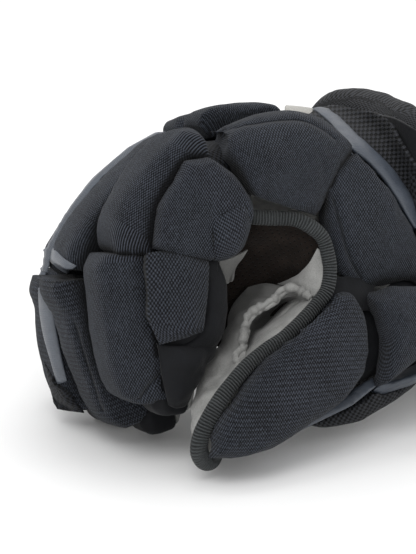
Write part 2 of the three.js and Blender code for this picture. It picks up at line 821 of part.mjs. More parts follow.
function cuffPoint(x, angle, height) {
  const row = between(cuffSections, (x - cuffFront) / cuffLength);
  const lean = radians(row.lean);
  const across = at(0, Math.cos(lean), Math.sin(lean));
  const up = at(0, -Math.sin(lean), Math.cos(lean));
  const top = Math.sin(radians(angle)) > 0;
  const rise = mix(cuffWristRise, cuffMouthRise, row.rise);
  const drop = mix(cuffWristDrop, cuffMouthDrop, row.drop);
  const half = mix(cuffWristHalf, cuffMouthHalf, row.half) + height;
  const [u, v] = oval(angle, half, (top ? rise : drop) + height, palmPower);
  return sum(at(x, palmWidth * row.across, palmDepth * row.height), [across, u], [up, v]);
}

// Curved panel between two angles and two places along the cuff, with softened edges.
function cuffPanel({ from, to, front, back, low, high, rows, columns }) {
  const angle = (k) => mix(from, to, k / columns);
  const along = (k) => cuffFront + cuffLength * mix(front, back, k / rows);
  const edge = (k, count) => (k === 0 || k === count ? 0.62 : 1);
  const rings = [];
  for (let k = 0; k <= columns; k++) {
    const upper = [];
    const lower = [];
    for (let i = 0; i <= rows; i++) {
      const height = mix(low, high, Math.min(edge(i, rows), edge(k, columns)));
      upper.push(cuffPoint(along(i), angle(k), height));
      lower.push(cuffPoint(along(i), angle(k), low));
    }
    rings.push([...upper, ...lower.reverse()]);
  }
  return loft(rings);
}

// Thick mesh roll round the cuff's front edge, over the back of the wrist.
function cuffRoll(grow) {
  const stops = 14;
  const sides = 10;
  const rings = Array.from({ length: stops + 1 }, (_, k) => {
    const angle = mix(-2, 184, k / stops);
    const taper = k === 0 || k === stops ? 0.7 : 1;
    const x = cuffFront - cuffRollRadius * 0.2;
    const centre = cuffPoint(x, angle, cuffRollRadius);
    const out = cuffPoint(x, angle, cuffRollRadius + 1).sub(centre).normalize();
    return Array.from({ length: sides }, (_, i) => {
      const turn = radians((i * 360) / sides);
      const radius = (cuffRollRadius + grow) * taper;
      return sum(centre, [at(1, 0, 0), Math.cos(turn) * radius], [out, Math.sin(turn) * radius]);
    });
  });
  return loft(rings);
}

// The pieces, in the order in which they are seated

const stallsOuter = (grow) => fingers.map((finger) => stallBody(finger, grow));
const bodyWith = (grow) => union([palmBody(grow), thumbBody(grow), ...stallsOuter(grow)]);
const body = bodyWith(clearance);

const pieces = [];
const keep = (name, finish, made) => pieces.push({ name, finish, made });

// The largest of a solid's loose parts, so that a cut leaves no crumbs.
function largest(made) {
  return made.decompose().reduce((a, b) => (a.volume() > b.volume() ? a : b));
}

const seated = [];
function pad(name, finish, raw, base = body) {
  let made = raw(0).subtract(base);
  for (const other of seated) made = made.subtract(other);
  seated.push(raw(clearance));
  keep(name, finish, largest(made));
}

const thumbHollow = thumbBody(-wall);
const palmHollow = palmBody(-wall, wall * 2);
const handShell = palmBody(0)
  .subtract(palmHollow)
  .subtract(thumbHollow)
  .subtract(union(fingers.map((finger) => fingerSpace(finger, clearance))));
keep("palm", "suede", largest(handShell.intersect(palmLower(0))));
keep("backhand_base", "mesh", largest(handShell.subtract(palmLower(clearance))));

for (const finger of fingers) {
  const shell = stallBody(finger, 0).subtract(stallBody(finger, -wall, wall * 3));
  keep(`${finger.name}_stall_palm`, "suede", largest(shell.intersect(stallLower(finger, 0))));
  keep(`${finger.name}_stall_back`, "cloth", largest(shell.subtract(stallLower(finger, clearance))));
}

const thumbShell = thumbBody(0).subtract(thumbHollow).subtract(palmBody(clearance));
const fingerClear = union(stallsOuter(clearance));
keep("thumb_stall_palm", "suede", largest(thumbShell.intersect(thumbInner(0)).subtract(fingerClear)));
keep("thumb_stall_back", "cloth", largest(thumbShell.subtract(thumbInner(clearance)).subtract(fingerClear)));

pad("web_binding", "webbing", binding);
pad("thumb_web", "suede", (grow) => web(webRows, 1, grow));
pad("web_gusset", "gusset", (grow) => web(gussetRows, -1, grow));
for (const finger of fingers) {
  pad(`${finger.name}_tip_roll`, "knit", (grow) => tipRoll(finger, grow));
  pad(`${finger.name}_knuckle_roll`, "knit", (grow) => knuckleRoll(finger, grow));
}
for (const finger of fingers.slice(2)) {
  const strip = (rollOf) => (grow) => rollOf(finger, grow, stripShare, stripProud);
  pad(`${finger.name}_tip_strip`, "strip", strip(tipRoll));
  pad(`${finger.name}_knuckle_strip`, "strip", strip(knuckleRoll));
}
pad("index_side_underlay", "cloth", (grow) => sideQuilt(sideUnderlay, "second", sideLayer, grow));
pad("index_side_pad_upper", "knit", (grow) => sideQuilt(upperSide, "first", sidePad, grow));
pad("index_side_pad_lower", "knit", (grow) => sideQuilt(lowerSide, "second", sidePad, grow));
pad("index_backhand_pad", "knit", (grow) => palmQuilt(indexBackhand, backhandPad, grow, 1));
for (const row of backhandRows) {
  pad(`${row.name}_backhand_pad`, "knit", (grow) => palmQuilt(backhandOutline(row), backhandPad, grow, 1));
}
pad("thumb_pad", "knit", (grow) => thumbQuilt(thumbOutline, thumbPad, grow, 1));
pad("wrist_pad_upper", "knit", (grow) => palmQuilt(upperWrist, wristPad, grow, 1));
pad("wrist_pad_lower", "knit", (grow) => thumbQuilt(lowerWrist, wristPad, grow, 1));

const palmRibbon = (route, width, high) => (grow) =>
  ribbon(onPalm(route), palmPoint, palmUnit, width, -sink, high, grow);
const thumbRibbon = (route, width, high) => (grow) =>
  ribbon(onThumb(route), thumbFace, thumbUnit, width, -sink, high, grow);
pad("backhand_strip", "strip", palmRibbon(backhandStripRoute, stripWidth, wristPad * 0.72));
pad("thumb_edge_strip", "strip", thumbRibbon(thumbStripRoute, stripWidth, thumbPad * 0.6));
pad("wrist_pad_strip", "strip", thumbRibbon(wristStripRoute, stripWidth, wristPad * 0.6));
pad("thumb_side_mesh", "mesh", sideMesh);
pad("backhand_band", "accent", (grow) => palmQuilt(backhandBand, bandPad, grow, 0.3));
pad("cuff_roll", "mesh", cuffRoll);
pad("wrist_mesh_panel", "mesh", (grow) => palmQuilt(meshPanel, meshPad, grow, 0.2));

const cuffPanels = [
  { name: "cuff_back_band", finish: "accent", from: 22, to: 158, front: 0.12, back: 0.3, high: cuffPad, columns: 10 },
  { name: "cuff_back_panel", finish: "knit", from: 22, to: 158, front: 0.31, back: 1, high: cuffPad, columns: 10 },
  { name: "cuff_thumb_panel", finish: "knit", from: -52, to: 22 - cuffGap, front: 0.12, back: 1, high: cuffPad, columns: 5 },
  { name: "cuff_pinky_panel", finish: "knit", from: 158 + cuffGap, to: 232, front: 0.12, back: 1, high: cuffPad, columns: 5 },
  { name: "cuff_palm_band", finish: "cloth", from: 232 + cuffGap, to: 308 - cuffGap, front: 0.12, back: 0.96, high: cuffBand, columns: 6 },
];
for (const panel of cuffPanels) {
  pad(panel.name, panel.finish, () => cuffPanel({ low: 0, rows: 4, ...panel }));
}

// The glove at rest

const glove = new THREE.Group();
glove.name = "hockey_glove";
const turn = new THREE.Euler(-radians(floorLean), radians(floorPitch), 0, "YXZ");
const turned = new THREE.Matrix4().makeRotationFromEuler(turn);
const shapes = pieces.map(({ name, finish, made }) => {
  const mesh = made.getMesh();
  const geometry = new THREE.BufferGeometry();
  geometry.setAttribute("position", new THREE.BufferAttribute(new Float32Array(mesh.vertProperties), 3));
  geometry.setIndex(new THREE.BufferAttribute(new Uint32Array(mesh.triVerts), 1));
  geometry.applyMatrix4(turned);
  geometry.computeBoundingBox();
  return { name, finish, geometry };
});
const box = shapes.reduce((all, { geometry }) => all.union(geometry.boundingBox), new THREE.Box3());
const centre = box.getCenter(at(0, 0, 0));
const floor = box.min.z + floorFlat;
const under = new THREE.BoxGeometry(1000, 1000, 100).translate(centre.x, centre.y, floor - 50);
under.deleteAttribute("normal");
under.deleteAttribute("uv");
const ground = toSolid(under);

for (const { name, finish, geometry } of shapes) {
  let shape = geometry;
  if (geometry.boundingBox.min.z < floor) {
    const flat = toSolid(geometry).subtract(ground).getMesh();
    shape = new THREE.BufferGeometry();
    shape.setAttribute("position", new THREE.BufferAttribute(new Float32Array(flat.vertProperties), 3));
    shape.setIndex(new THREE.BufferAttribute(new Uint32Array(flat.triVerts), 1));
  }
  shape.translate(-centre.x, -centre.y, -floor);
  shape.computeVertexNormals();
  const mesh = new THREE.Mesh(shape, new THREE.MeshStandardMaterial({ metalness: 0, ...finishes[finish] }));
  mesh.name = name;
  glove.add(mesh);
}

export default glove;
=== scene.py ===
import math

import bmesh
import bpy
import numpy as np
from mathutils import Matrix, Vector, noise
from mathutils.bvhtree import BVHTree


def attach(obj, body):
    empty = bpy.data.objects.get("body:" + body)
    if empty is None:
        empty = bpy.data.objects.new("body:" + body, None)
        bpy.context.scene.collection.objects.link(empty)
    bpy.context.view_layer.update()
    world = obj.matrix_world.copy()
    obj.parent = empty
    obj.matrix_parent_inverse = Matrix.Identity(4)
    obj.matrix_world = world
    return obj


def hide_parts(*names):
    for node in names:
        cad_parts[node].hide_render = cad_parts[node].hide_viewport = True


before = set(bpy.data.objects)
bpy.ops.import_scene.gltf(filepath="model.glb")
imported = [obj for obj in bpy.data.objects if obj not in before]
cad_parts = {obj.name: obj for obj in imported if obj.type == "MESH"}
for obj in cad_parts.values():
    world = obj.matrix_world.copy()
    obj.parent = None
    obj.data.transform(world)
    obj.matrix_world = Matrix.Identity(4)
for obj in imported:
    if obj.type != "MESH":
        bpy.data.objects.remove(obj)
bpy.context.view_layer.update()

# The hand's own frame: fingers towards -X, cuff towards +X, thumb side towards -Y. Lengths in it are mm.
# At rest the glove leans on its fingertips, thumb tip and cuff, so that frame is turned and moved.

MM = 0.001
FLOOR_LEAN = math.radians(11)
FLOOR_PITCH = math.radians(4.8)
HAND_ORIGIN = Vector((-0.05545, 0.00911, 0.06614))
HAND_TURN = Matrix.Rotation(FLOOR_PITCH, 3, "Y") @ Matrix.Rotation(-FLOOR_LEAN, 3, "X")


def hand(x, y, z):
    """A place in the hand's own frame as a point of the glove at rest."""
    return HAND_TURN @ Vector((x, y, z)) * MM + HAND_ORIGIN


def in_hand(points):
    """Points of the glove at rest, in the hand's own frame."""
    return (np.asarray(points) - np.array(HAND_ORIGIN)) @ np.array(HAND_TURN) / MM


# One row a finger, as in the part: lengths in mm, angles in degrees below the line from wrist to knuckles
FINGER_PITCH = 28.5
FINGERS = {
    "index": {"slot": -1.5, "knuckle": (-19, 53), "first": (43, 56), "second": (73, 92)},
    "middle": {"slot": -0.5, "knuckle": (-16.5, 48), "first": (50, 43), "second": (85, 104)},
    "ring": {"slot": 0.5, "knuckle": (-11, 43), "first": (49, 45), "second": (76, 91)},
    "pinky": {"slot": 1.5, "knuckle": (-3, 37), "first": (38, 45), "second": (64, 97)},
}

# The photograph's camera, set in the hand's own frame

PHOTO_SIZE = (416, 554)
PHOTO_SCALE = 0.475  # mm a pixel at the hand's origin
CAMERA_DISTANCE = 1.3
CAMERA_AZIMUTH = math.radians(-25)
CAMERA_ELEVATION = math.radians(7)
SENSOR = 36


def camera_axes():
    """Right, up and backward directions of the camera in the hand's own frame."""
    a, e = CAMERA_AZIMUTH, CAMERA_ELEVATION
    back = Vector((math.sin(a) * math.cos(e), -math.cos(a) * math.cos(e), math.sin(e)))
    right = Vector((math.cos(a), math.sin(a), 0))
    return right, back.cross(right), back


def seen(px, py, depth):
    """The place that the photograph shows at a pixel, depth being its y in the hand's own frame."""
    right, up, back = camera_axes()
    eye = back * CAMERA_DISTANCE / MM
    target = right * (px - PHOTO_SIZE[0] / 2) + up * (PHOTO_SIZE[1] / 2 - py)
    ray = target * PHOTO_SCALE - eye
    return eye + ray * ((depth - eye.y) / ray.y)


def make_camera():
    right, up, back = [HAND_TURN @ v for v in camera_axes()]
    data = bpy.data.cameras.new("photo_camera")
    data.sensor_width = SENSOR
    data.lens = SENSOR * CAMERA_DISTANCE / (PHOTO_SIZE[1] * PHOTO_SCALE * MM)
    data.clip_start = 0.05
    camera = bpy.data.objects.new("photo_camera", data)
    turn = Matrix((right, up, back)).transposed().to_4x4()
    camera.matrix_world = Matrix.Translation(HAND_ORIGIN + back * CAMERA_DISTANCE) @ turn
    bpy.context.scene.collection.objects.link(camera)
    bpy.context.scene.camera = camera


# Meshes


def link(name, mesh):
    piece = bpy.data.objects.new(name, mesh)
    bpy.context.scene.collection.objects.link(piece)
    return piece


def mesh_from(name, points, faces, smooth=True):
    mesh = bpy.data.meshes.new(name)
    mesh.from_pydata([tuple(p) for p in points], [], faces)
    mesh.update()
    mesh.polygons.foreach_set("use_smooth", [smooth] * len(mesh.polygons))
    return mesh


def copy_of(node, name):
    """A loose copy of a CAD solid with its split corners merged again."""
    shape = bmesh.new()
    shape.from_mesh(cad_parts[node].data)
    bmesh.ops.remove_doubles(shape, verts=shape.verts, dist=1e-5)
    mesh = bpy.data.meshes.new(name)
    shape.to_mesh(mesh)
    shape.free()
    return link(name, mesh)


def points_of(piece):
    flat = np.zeros(len(piece.data.vertices) * 3)
    piece.data.vertices.foreach_get("co", flat)
    return flat.reshape(-1, 3)


def normals_of(piece):
    flat = np.zeros(len(piece.data.vertices) * 3)
    piece.data.vertices.foreach_get("normal", flat)
    return flat.reshape(-1, 3)


def place_points(piece, points):
    piece.data.vertices.foreach_set("co", np.asarray(points).ravel())
    piece.data.update()


def bake(piece):
    """Applies the modifiers of a piece."""
    graph = bpy.context.evaluated_depsgraph_get()
    mesh = bpy.data.meshes.new_from_object(piece.evaluated_get(graph))
    piece.modifiers.clear()
    piece.data = mesh
    mesh.polygons.foreach_set("use_smooth", [True] * len(mesh.polygons))


def remesh(piece, voxel, rounds, factor=0.5):
    change = piece.modifiers.new("remesh", "REMESH")
    change.mode = "VOXEL"
    change.voxel_size = voxel * MM
    if rounds:
        soften = piece.modifiers.new("soften", "SMOOTH")
        soften.iterations = rounds
        soften.factor = factor
    bake(piece)


def subdivide(piece, levels):
    change = piece.modifiers.new("subdivide", "SUBSURF")
    change.levels = change.render_levels = levels
    bake(piece)


def give(piece, name, values):
    """Keeps numbers on a piece's vertices for its material."""
    values = np.asarray(values, float)
    kind = "FLOAT" if values.ndim == 1 else "FLOAT_VECTOR"
    kept = piece.data.attributes.new(name, kind, "POINT")
    kept.data.foreach_set("value" if kind == "FLOAT" else "vector", values.ravel())


def line_distance(points, line):
    """Distance of points to a polyline, and the length along it to the nearest place, in its own units."""
    line = np.asarray(line, float)
    best = np.full(len(points), 1e9)
    run = np.zeros(len(points))
    passed = 0.0
    for a, b in zip(line[:-1], line[1:]):
        span = b - a
        length = np.linalg.norm(span)
        t = np.clip((points - a) @ span / length**2, 0, 1)
        away = np.linalg.norm(points - a - t[:, None] * span, axis=1)
        nearer = away < best
        best[nearer] = away[nearer]
        run[nearer] = passed + t[nearer] * length
        passed += length
    return best, run


def lumps(points, size, seed=0.0):
    """Smooth noise from -1 to 1 with lumps of the given size in mm."""
    shift = Vector((seed * 17.3, seed * 7.7, seed * 3.1))
    return np.array([noise.noise(Vector(p) / (size * MM) + shift) for p in points])


def pixels_of(places):
    """Pixels at which the photograph's camera sees places of the hand's own frame."""
    right, up, back = [np.array(v) for v in camera_axes()]
    away = places - back * CAMERA_DISTANCE / MM
    near = -(away @ back) * PHOTO_SCALE * MM / CAMERA_DISTANCE
    return np.stack([PHOTO_SIZE[0] / 2 + away @ right / near, PHOTO_SIZE[1] / 2 - away @ up / near], 1)


def bent(points, moves):
    """Points of a plane, bent smoothly so that the first place of each move comes to its second."""
    moves = np.array(moves, float)
    fixed, shifts = moves[:, :2], moves[:, 2:] - moves[:, :2]

    def kernel(a, b):
        square = ((a[:, None, :] - b[None, :, :]) ** 2).sum(2)
        return square * np.log(np.sqrt(square) + 1e-6)

    count = len(fixed)
    flat = np.hstack([np.ones((count, 1)), fixed])
    pull = kernel(fixed, fixed) + np.eye(count) * BEND_EASE
    system = np.block([[pull, flat], [flat.T, np.zeros((3, 3))]])
    weights = np.linalg.solve(system, np.vstack([shifts, np.zeros((3, 2))]))
    spread = np.hstack([kernel(points, fixed), np.ones((len(points), 1)), points])
    return points + spread @ weights


def nudge(piece, moves):
    """Shifts a piece at its depth so that what is seen at the first pixel of a move comes to the second."""
    local = in_hand(points_of(piece))
    placed = [hand(*seen(*pixel, place[1])) for pixel, place in zip(bent(pixels_of(local), moves), local)]
    place_points(piece, placed)


def tree_of(*pieces):
    points, faces = [], []
    for piece in pieces:
        first = len(points)
        points += [v.co.copy() for v in piece.data.vertices]
        faces += [[first + k for k in f.vertices] for f in piece.data.polygons]
    return BVHTree.FromPolygons(points, faces)


def seen_on(px, py, tree, lift=0.0):
    """The place of a piece at a pixel of the photograph, lifted towards the camera by mm, or None."""
    eye = hand(*(camera_axes()[2] * CAMERA_DISTANCE / MM))
    ray = (hand(*seen(px, py, 0)) - eye).normalized()
    place, _, _, _ = tree.ray_cast(eye, ray)
    if place is None:
        return None
    return Vector(in_hand([place - ray * lift * MM])[0])


NO_SEAM = 9.0
LAID_EASE = 2
BEND_EASE = 60.0  # lets a bend pass a little beside its places, which keeps it smooth
OPENING_SHADE_DEPTH = -56  # deeper in the thumb's opening than this, suede gets painted shade
OPENING_SHADE_REACH = 18
PATCH_FINE = 8
FOLD_SIZE = 7  # mm


def curve_through(points, fine):
    """Smooth curves through points along the first axis, with fine steps to each gap."""
    points = np.asarray(points, float)
    ends = np.concatenate([[2 * points[0] - points[1]], points, [2 * points[-1] - points[-2]]])
    steps = []
    for i in range(1, len(ends) - 2):
        p0, p1, p2, p3 = ends[i - 1 : i + 3]
        for t in np.linspace(0, 1, fine, endpoint=False):
            bend = (2 * p0 - 5 * p1 + 4 * p2 - p3) * t**2 + (3 * p1 - p0 - 3 * p2 + p3) * t**3
            steps.append(0.5 * (2 * p1 + (p2 - p0) * t + bend))
    steps.append(points[-1])
    return np.array(steps)


def smooth_line(points, step):
    """Places at even steps along a smooth curve through the given ones."""
    curve = curve_through(points, 24)
    run = np.concatenate([[0], np.cumsum(np.linalg.norm(np.diff(curve, axis=0), axis=1))])
    stops = np.arange(0, run[-1], step)
    return np.stack([np.interp(stops, run, curve[:, k]) for k in range(3)], 1)


def laid(grid, tree, lift):
    """Places of a piece that the photograph shows at a grid of pixels, lifted towards the camera by mm."""
    depths = np.full(grid.shape[:2], np.nan)
    for i, row in enumerate(grid):
        for j, pixel in enumerate(row):
            place = seen_on(*pixel, tree, lift)
            if place is not None:
                depths[i, j] = place.y
    known = np.argwhere(~np.isnan(depths))
    for i, j in np.argwhere(np.isnan(depths)):
        nearest = known[((known - (i, j)) ** 2).sum(1).argmin()]
        depths[i, j] = depths[tuple(nearest)]
    for _ in range(LAID_EASE):
        wide = np.pad(depths, 1, mode="edge")
        depths = (wide[:-2, 1:-1] + wide[2:, 1:-1] + wide[1:-1, :-2] + wide[1:-1, 2:] + 2 * depths) / 6
    return np.array([[seen(*pixel, depth) for pixel, depth in zip(*pair)] for pair in zip(grid, depths)])


def patch(name, rows, thickness, bulge=0.0, folds=0.0, seed=0.0, tree=None, lift=0.0, facing=False):
    """Cloth through rows of places in the photograph, each (px, py, depth), or (px, py) on a piece's tree."""
    grid = np.array(rows, float) if tree else np.array([[seen(*place) for place in row] for row in rows])
    grid = curve_through(grid, PATCH_FINE)
    grid = np.swapaxes(curve_through(np.swapaxes(grid, 0, 1), PATCH_FINE), 0, 1)
    if tree:
        grid = laid(grid, tree, lift)
    down, across = np.gradient(grid, axis=(0, 1))
    normal = np.cross(down, across)
    normal /= np.linalg.norm(normal, axis=2)[:, :, None]
    if normal[:, :, 1].mean() > 0:
        normal = -normal
    count, width = grid.shape[:2]
    u = np.linspace(-1, 1, width)[None, :]
    v = np.linspace(-1, 1, count)[:, None]
    puff = (1 - u**4) * (1 - v**4) * bulge
    shift = Vector((seed, 0, 0))
    wave = np.array([[noise.noise(Vector(p) / FOLD_SIZE + shift) for p in row] for row in grid]) * folds
    front = grid + normal * (puff + wave)[:, :, None]
    back = grid - normal * thickness
    run_across = np.cumsum(np.linalg.norm(across, axis=2), axis=1)
    run_down = np.cumsum(np.linalg.norm(down, axis=2), axis=0)
    points = np.concatenate([front.reshape(-1, 3), back.reshape(-1, 3)])
    half = count * width
    faces = []
    for i in range(count - 1):
        for j in range(width - 1):
            a = i * width + j
            quad = (a, a + width, a + width + 1, a + 1)
            faces.append(quad)
            faces.append(tuple(half + k for k in quad[::-1]))
    rim = [j for j in range(width)] + [i * width + width - 1 for i in range(1, count)]
    rim += [(count - 1) * width + j for j in range(width - 2, -1, -1)]
    rim += [i * width for i in range(count - 2, 0, -1)]
    for a, b in zip(rim, rim[1:] + rim[:1]):
        faces.append((a, b, half + b, half + a))
    mesh = mesh_from(name, [hand(*p) for p in points], faces)
    made = link(name, mesh)
    tidy = bmesh.new()
    tidy.from_mesh(mesh)
    bmesh.ops.recalc_face_normals(tidy, faces=tidy.faces)
    tidy.to_mesh(mesh)
    tidy.free()
    flat = np.stack([run_across, run_down, np.zeros((count, width))], 2).reshape(-1, 3)
    if facing:
        pixels = pixels_of(grid.reshape(-1, 3)) * PHOTO_SCALE
        turned = [pixels[:, 0] + pixels[:, 1], pixels[:, 1] - pixels[:, 0]]
        flat = np.stack([turned[0] * math.sqrt(0.5), turned[1] * math.sqrt(0.5), turned[0] * 0], 1)
    give(made, "weave", np.concatenate([flat, flat]))
    give(made, "seam", np.full(2 * half, NO_SEAM))
    # Painted shade: points deeper in the thumb's opening get darker suede.
    give(made, "opening_shade", np.clip((points[:, 1] - OPENING_SHADE_DEPTH) / OPENING_SHADE_REACH, 0, 1))
    return made


def skin(count, sides):
    """Faces round a row of rings, with both ends closed."""
    faces = []
    for i in range(count - 1):
        for k in range(sides):
            j = (k + 1) % sides
            faces.append((i * sides + k, i * sides + j, (i + 1) * sides + j, (i + 1) * sides + k))
    faces.append(tuple(range(sides))[::-1])
    faces.append(tuple((count - 1) * sides + k for k in range(sides)))
    return faces


def tube(name, line, radius, waver=0.0, flat=1.0, seed=0.0, step=0.6, sides=8):
    """A thin roll of cloth along places in the hand's own frame, its radius wavering by a share."""
    line = smooth_line(line, step)
    tangents = np.gradient(line, axis=0)
    tangents /= np.linalg.norm(tangents, axis=1)[:, None]
    front = np.array([0, -1, 0])
    rings = []
    for centre, along in zip(line, tangents):
        side = np.cross(along, front)
        side /= np.linalg.norm(side)
        face = np.cross(side, along)
        size = radius * (1 + waver * noise.noise(Vector(centre) / 2.2 + Vector((seed, 0, 0))))
        drift = face * waver * radius * noise.noise(Vector(centre) / 3.5 + Vector((0, seed, 0)))
        for k in range(sides):
            angle = 2 * math.pi * k / sides
            out = side * size * math.cos(angle) + face * size * flat * math.sin(angle)
            rings.append(centre + drift + out)
    count = len(line)
    made = link(name, mesh_from(name, [hand(*p) for p in rings], skin(count, sides)))
    weave_pad(made)
    return made


# Materials


class Shader:
    """A material built node by node. Every call returns the socket to use next."""

    def __init__(self, name, roughness, sheen=0.0, specular=0.5):
        self.material = bpy.data.materials.new(name)
        self.material.use_nodes = True
        self.tree = self.material.node_tree
        self.tree.nodes.clear()
        self.surface = self.tree.nodes.new("ShaderNodeBsdfPrincipled")
        output = self.tree.nodes.new("ShaderNodeOutputMaterial")
        self.tree.links.new(self.surface.outputs["BSDF"], output.inputs["Surface"])
        self.surface.inputs["Roughness"].default_value = roughness
        self.surface.inputs["Sheen Weight"].default_value = sheen
        self.surface.inputs["Sheen Roughness"].default_value = 0.5
        self.surface.inputs["Specular IOR Level"].default_value = specular

    def node(self, kind, settings=(), **sockets):
        made = self.tree.nodes.new(kind)
        for key, value in dict(settings).items():
            setattr(made, key, value)
        for key, value in sockets.items():
            self.put(made.inputs[key.replace("_", " ")], value)
        return made

    def put(self, socket, value):
        if isinstance(value, bpy.types.NodeSocket):
            self.tree.links.new(value, socket)
        else:
            socket.default_value = value

    def math(self, operation, a, b=0.0, c=0.0, clamp=False):
        made = self.tree.nodes.new("ShaderNodeMath")
        made.operation = operation
        made.use_clamp = clamp
        for socket, value in zip(made.inputs, (a, b, c)):
            self.put(socket, value)
        return made.outputs[0]

    def kept(self, name):
        return self.node("ShaderNodeAttribute", {"attribute_name": name})

    def split(self, vector):
        made = self.node("ShaderNodeSeparateXYZ", Vector=vector)
        return made.outputs[0], made.outputs[1], made.outputs[2]

    def place(self):
        return self.node("ShaderNodeTexCoord").outputs["Object"]

    def lumps(self, size, detail=2.0, where=None, roughness=0.5):
        """Noise with lumps of the given size in mm, about 0 to 1."""
        where = where if where is not None else self.place()
        settings = {"Scale": 1 / (size * MM), "Detail": detail, "Roughness": roughness}
        return self.node("ShaderNodeTexNoise", Vector=where, **settings).outputs[0]

    def ramp(self, value, stops):
        made = self.node("ShaderNodeValToRGB", Fac=value)
        ramp = made.color_ramp
        while len(ramp.elements) < len(stops):
            ramp.elements.new(0.5)
        for element, (place, colour) in zip(ramp.elements, stops):
            element.position = place
            element.color = (*colour, 1)
        return made.outputs["Color"]

    def mix(self, share, a, b):
        made = self.tree.nodes.new("ShaderNodeMix")
        made.data_type = "RGBA"
        self.put(made.inputs[0], share)
        for socket, value in ((made.inputs[6], a), (made.inputs[7], b)):
            self.put(socket, (*value, 1) if isinstance(value, tuple) and len(value) == 3 else value)
        return made.outputs[2]

    def span(self, value, low, high, first=0.0, last=1.0):
        """Maps low..high to first..last, smoothly and clamped."""
        made = self.node("ShaderNodeMapRange", {"interpolation_type": "SMOOTHSTEP"}, Value=value)
        for socket, number in zip(made.inputs[1:5], (low, high, first, last)):
            socket.default_value = number
        return made.outputs[0]

    def finish(self, colour, height=None, relief=0.3, strength=1.0, roughness=None):
        """Colours the surface and embosses it: relief is the height of the bumps in mm."""
        self.put(self.surface.inputs["Base Color"], (*colour, 1) if isinstance(colour, tuple) else colour)
        if roughness is not None:
            self.put(self.surface.inputs["Roughness"], roughness)
        if height is not None:
            bump = self.node("ShaderNodeBump", Height=height, Distance=relief * MM, Strength=strength)
            self.put(self.surface.inputs["Normal"], bump.outputs["Normal"])
        return self.material


def scaled(colour, share):
    return tuple(c * share for c in colour)


def lattice(shader, x, y, wale, course):
    """Staggered loops, 0 between them and 1 on top: wale apart across, course apart along, in mm."""
    a = shader.math("MULTIPLY", x, 2 * math.pi / wale)
    b = shader.math("MULTIPLY", y, math.pi / course)
    one = shader.math("COSINE", shader.math("ADD", a, b))
    two = shader.math("COSINE", shader.math("SUBTRACT", a, b))
    total = shader.math("ADD", one, two)
    return shader.math("MULTIPLY_ADD", total, 0.25, 0.5)


def knit(name, colour, wale=1.45, course=1.05, relief=0.4, ribs=0.0):
    """Padded knit: staggered loops with fuzz, painted shade in corners that the pads around it hide, and
    darker in its seams.
    """
    s = Shader(name, roughness=0.88, sheen=0.06, specular=0.14)
    x, y, _ = s.split(s.kept("weave").outputs["Vector"])
    wobble = s.lumps(7, 1)
    x = s.math("MULTIPLY_ADD", wobble, 0.9, x)
    loops = lattice(s, x, y, wale, course)
    if ribs:
        rows = s.math("COSINE", s.math("MULTIPLY", y, 2 * math.pi / ribs))
        loops = s.math("MULTIPLY_ADD", rows, 0.12, s.math("MULTIPLY", loops, 0.9))
    fuzz = s.lumps(0.45, 2)
    patches = s.lumps(16, 3)
    grain = s.lumps(0.9, 1)
    shade = s.math("MULTIPLY_ADD", fuzz, 0.22, s.math("MULTIPLY", loops, 0.62))
    shade = s.math("MULTIPLY_ADD", grain, 0.5, shade)
    shade = s.math("MULTIPLY_ADD", patches, 0.2, shade)
    stops = [(0.46, scaled(colour, 0.06)), (0.76, scaled(colour, 0.9)), (1.0, scaled(colour, 3.8))]
    base = s.ramp(shade, stops)
    seam = s.kept("seam").outputs["Fac"]
    groove = s.span(seam, 0.0, 1.3)
    base = s.mix(s.math("MULTIPLY_ADD", groove, 0.6, 0.4), scaled(colour, 0.18), base)
    # Painted shade: the more the pads around a point hide it, the darker its colour.
    hidden = s.kept("hidden").outputs["Fac"]
    base = s.mix(s.span(hidden, 0.05, 0.45, 0.0, 0.92), base, scaled(colour, 0.1))
    height = s.math("MULTIPLY_ADD", fuzz, 0.5, loops)
    height = s.math("MULTIPLY_ADD", groove, 2.2, height)
    return s.finish(base, height, relief)


def mesh_cloth(name, colour, wale=2.7, course=1.5, relief=0.45):
    """Open spacer mesh: threads round dark holes."""
    s = Shader(name, roughness=0.7, sheen=0.03, specular=0.2)
    x, y, _ = s.split(s.kept("weave").outputs["Vector"])
    loops = lattice(s, x, y, wale, course)
    threads = s.span(loops, 0.2, 0.7)
    fuzz = s.lumps(0.5, 2)
    shade = s.math("MULTIPLY_ADD", fuzz, 0.35, s.math("MULTIPLY", threads, 0.7))
    base = s.ramp(shade, [(0.2, scaled(colour, 0.05)), (0.55, colour), (1.0, scaled(colour, 4.0))])
    return s.finish(base, threads, relief)


def woven(name, colour, relief=0.12, sheen=0.05, roughness=0.75):
    """Plain tight cloth with soft patches."""
    s = Shader(name, roughness=roughness, sheen=sheen, specular=0.2)
    threads = s.lumps(0.35, 2)
    patches = s.lumps(9, 3)
    shade = s.math("MULTIPLY_ADD", patches, 0.6, s.math("MULTIPLY", threads, 0.6))
    base = s.ramp(shade, [(0.35, scaled(colour, 0.5)), (0.62, colour), (0.9, scaled(colour, 1.7))])
    height = s.math("MULTIPLY_ADD", s.lumps(3.5, 2), 2.5, threads)
    return s.finish(base, height, relief)


def suede(name, colour):
    """Brushed synthetic suede: short nap, blotches, soft dents, and painted shade deep in the thumb's
    opening.
    """
    s = Shader(name, roughness=0.95, sheen=0.15, specular=0.12)
    nap = s.lumps(0.6, 4, roughness=0.7)
    blotches = s.lumps(11, 4)
    shade = s.math("MULTIPLY_ADD", blotches, 0.9, s.math("MULTIPLY", nap, 0.55))
    base = s.ramp(shade, [(0.42, scaled(colour, 0.55)), (0.7, colour), (0.95, scaled(colour, 1.3))])
    # Painted shade: darker towards the depth of the thumb's opening.
    opening_shade = s.kept("opening_shade").outputs["Fac"]
    base = s.mix(opening_shade, base, scaled(colour, 0.3))
    height = s.math("MULTIPLY_ADD", s.lumps(4.5, 2), 3.0, nap)
    return s.finish(base, height, 0.22)


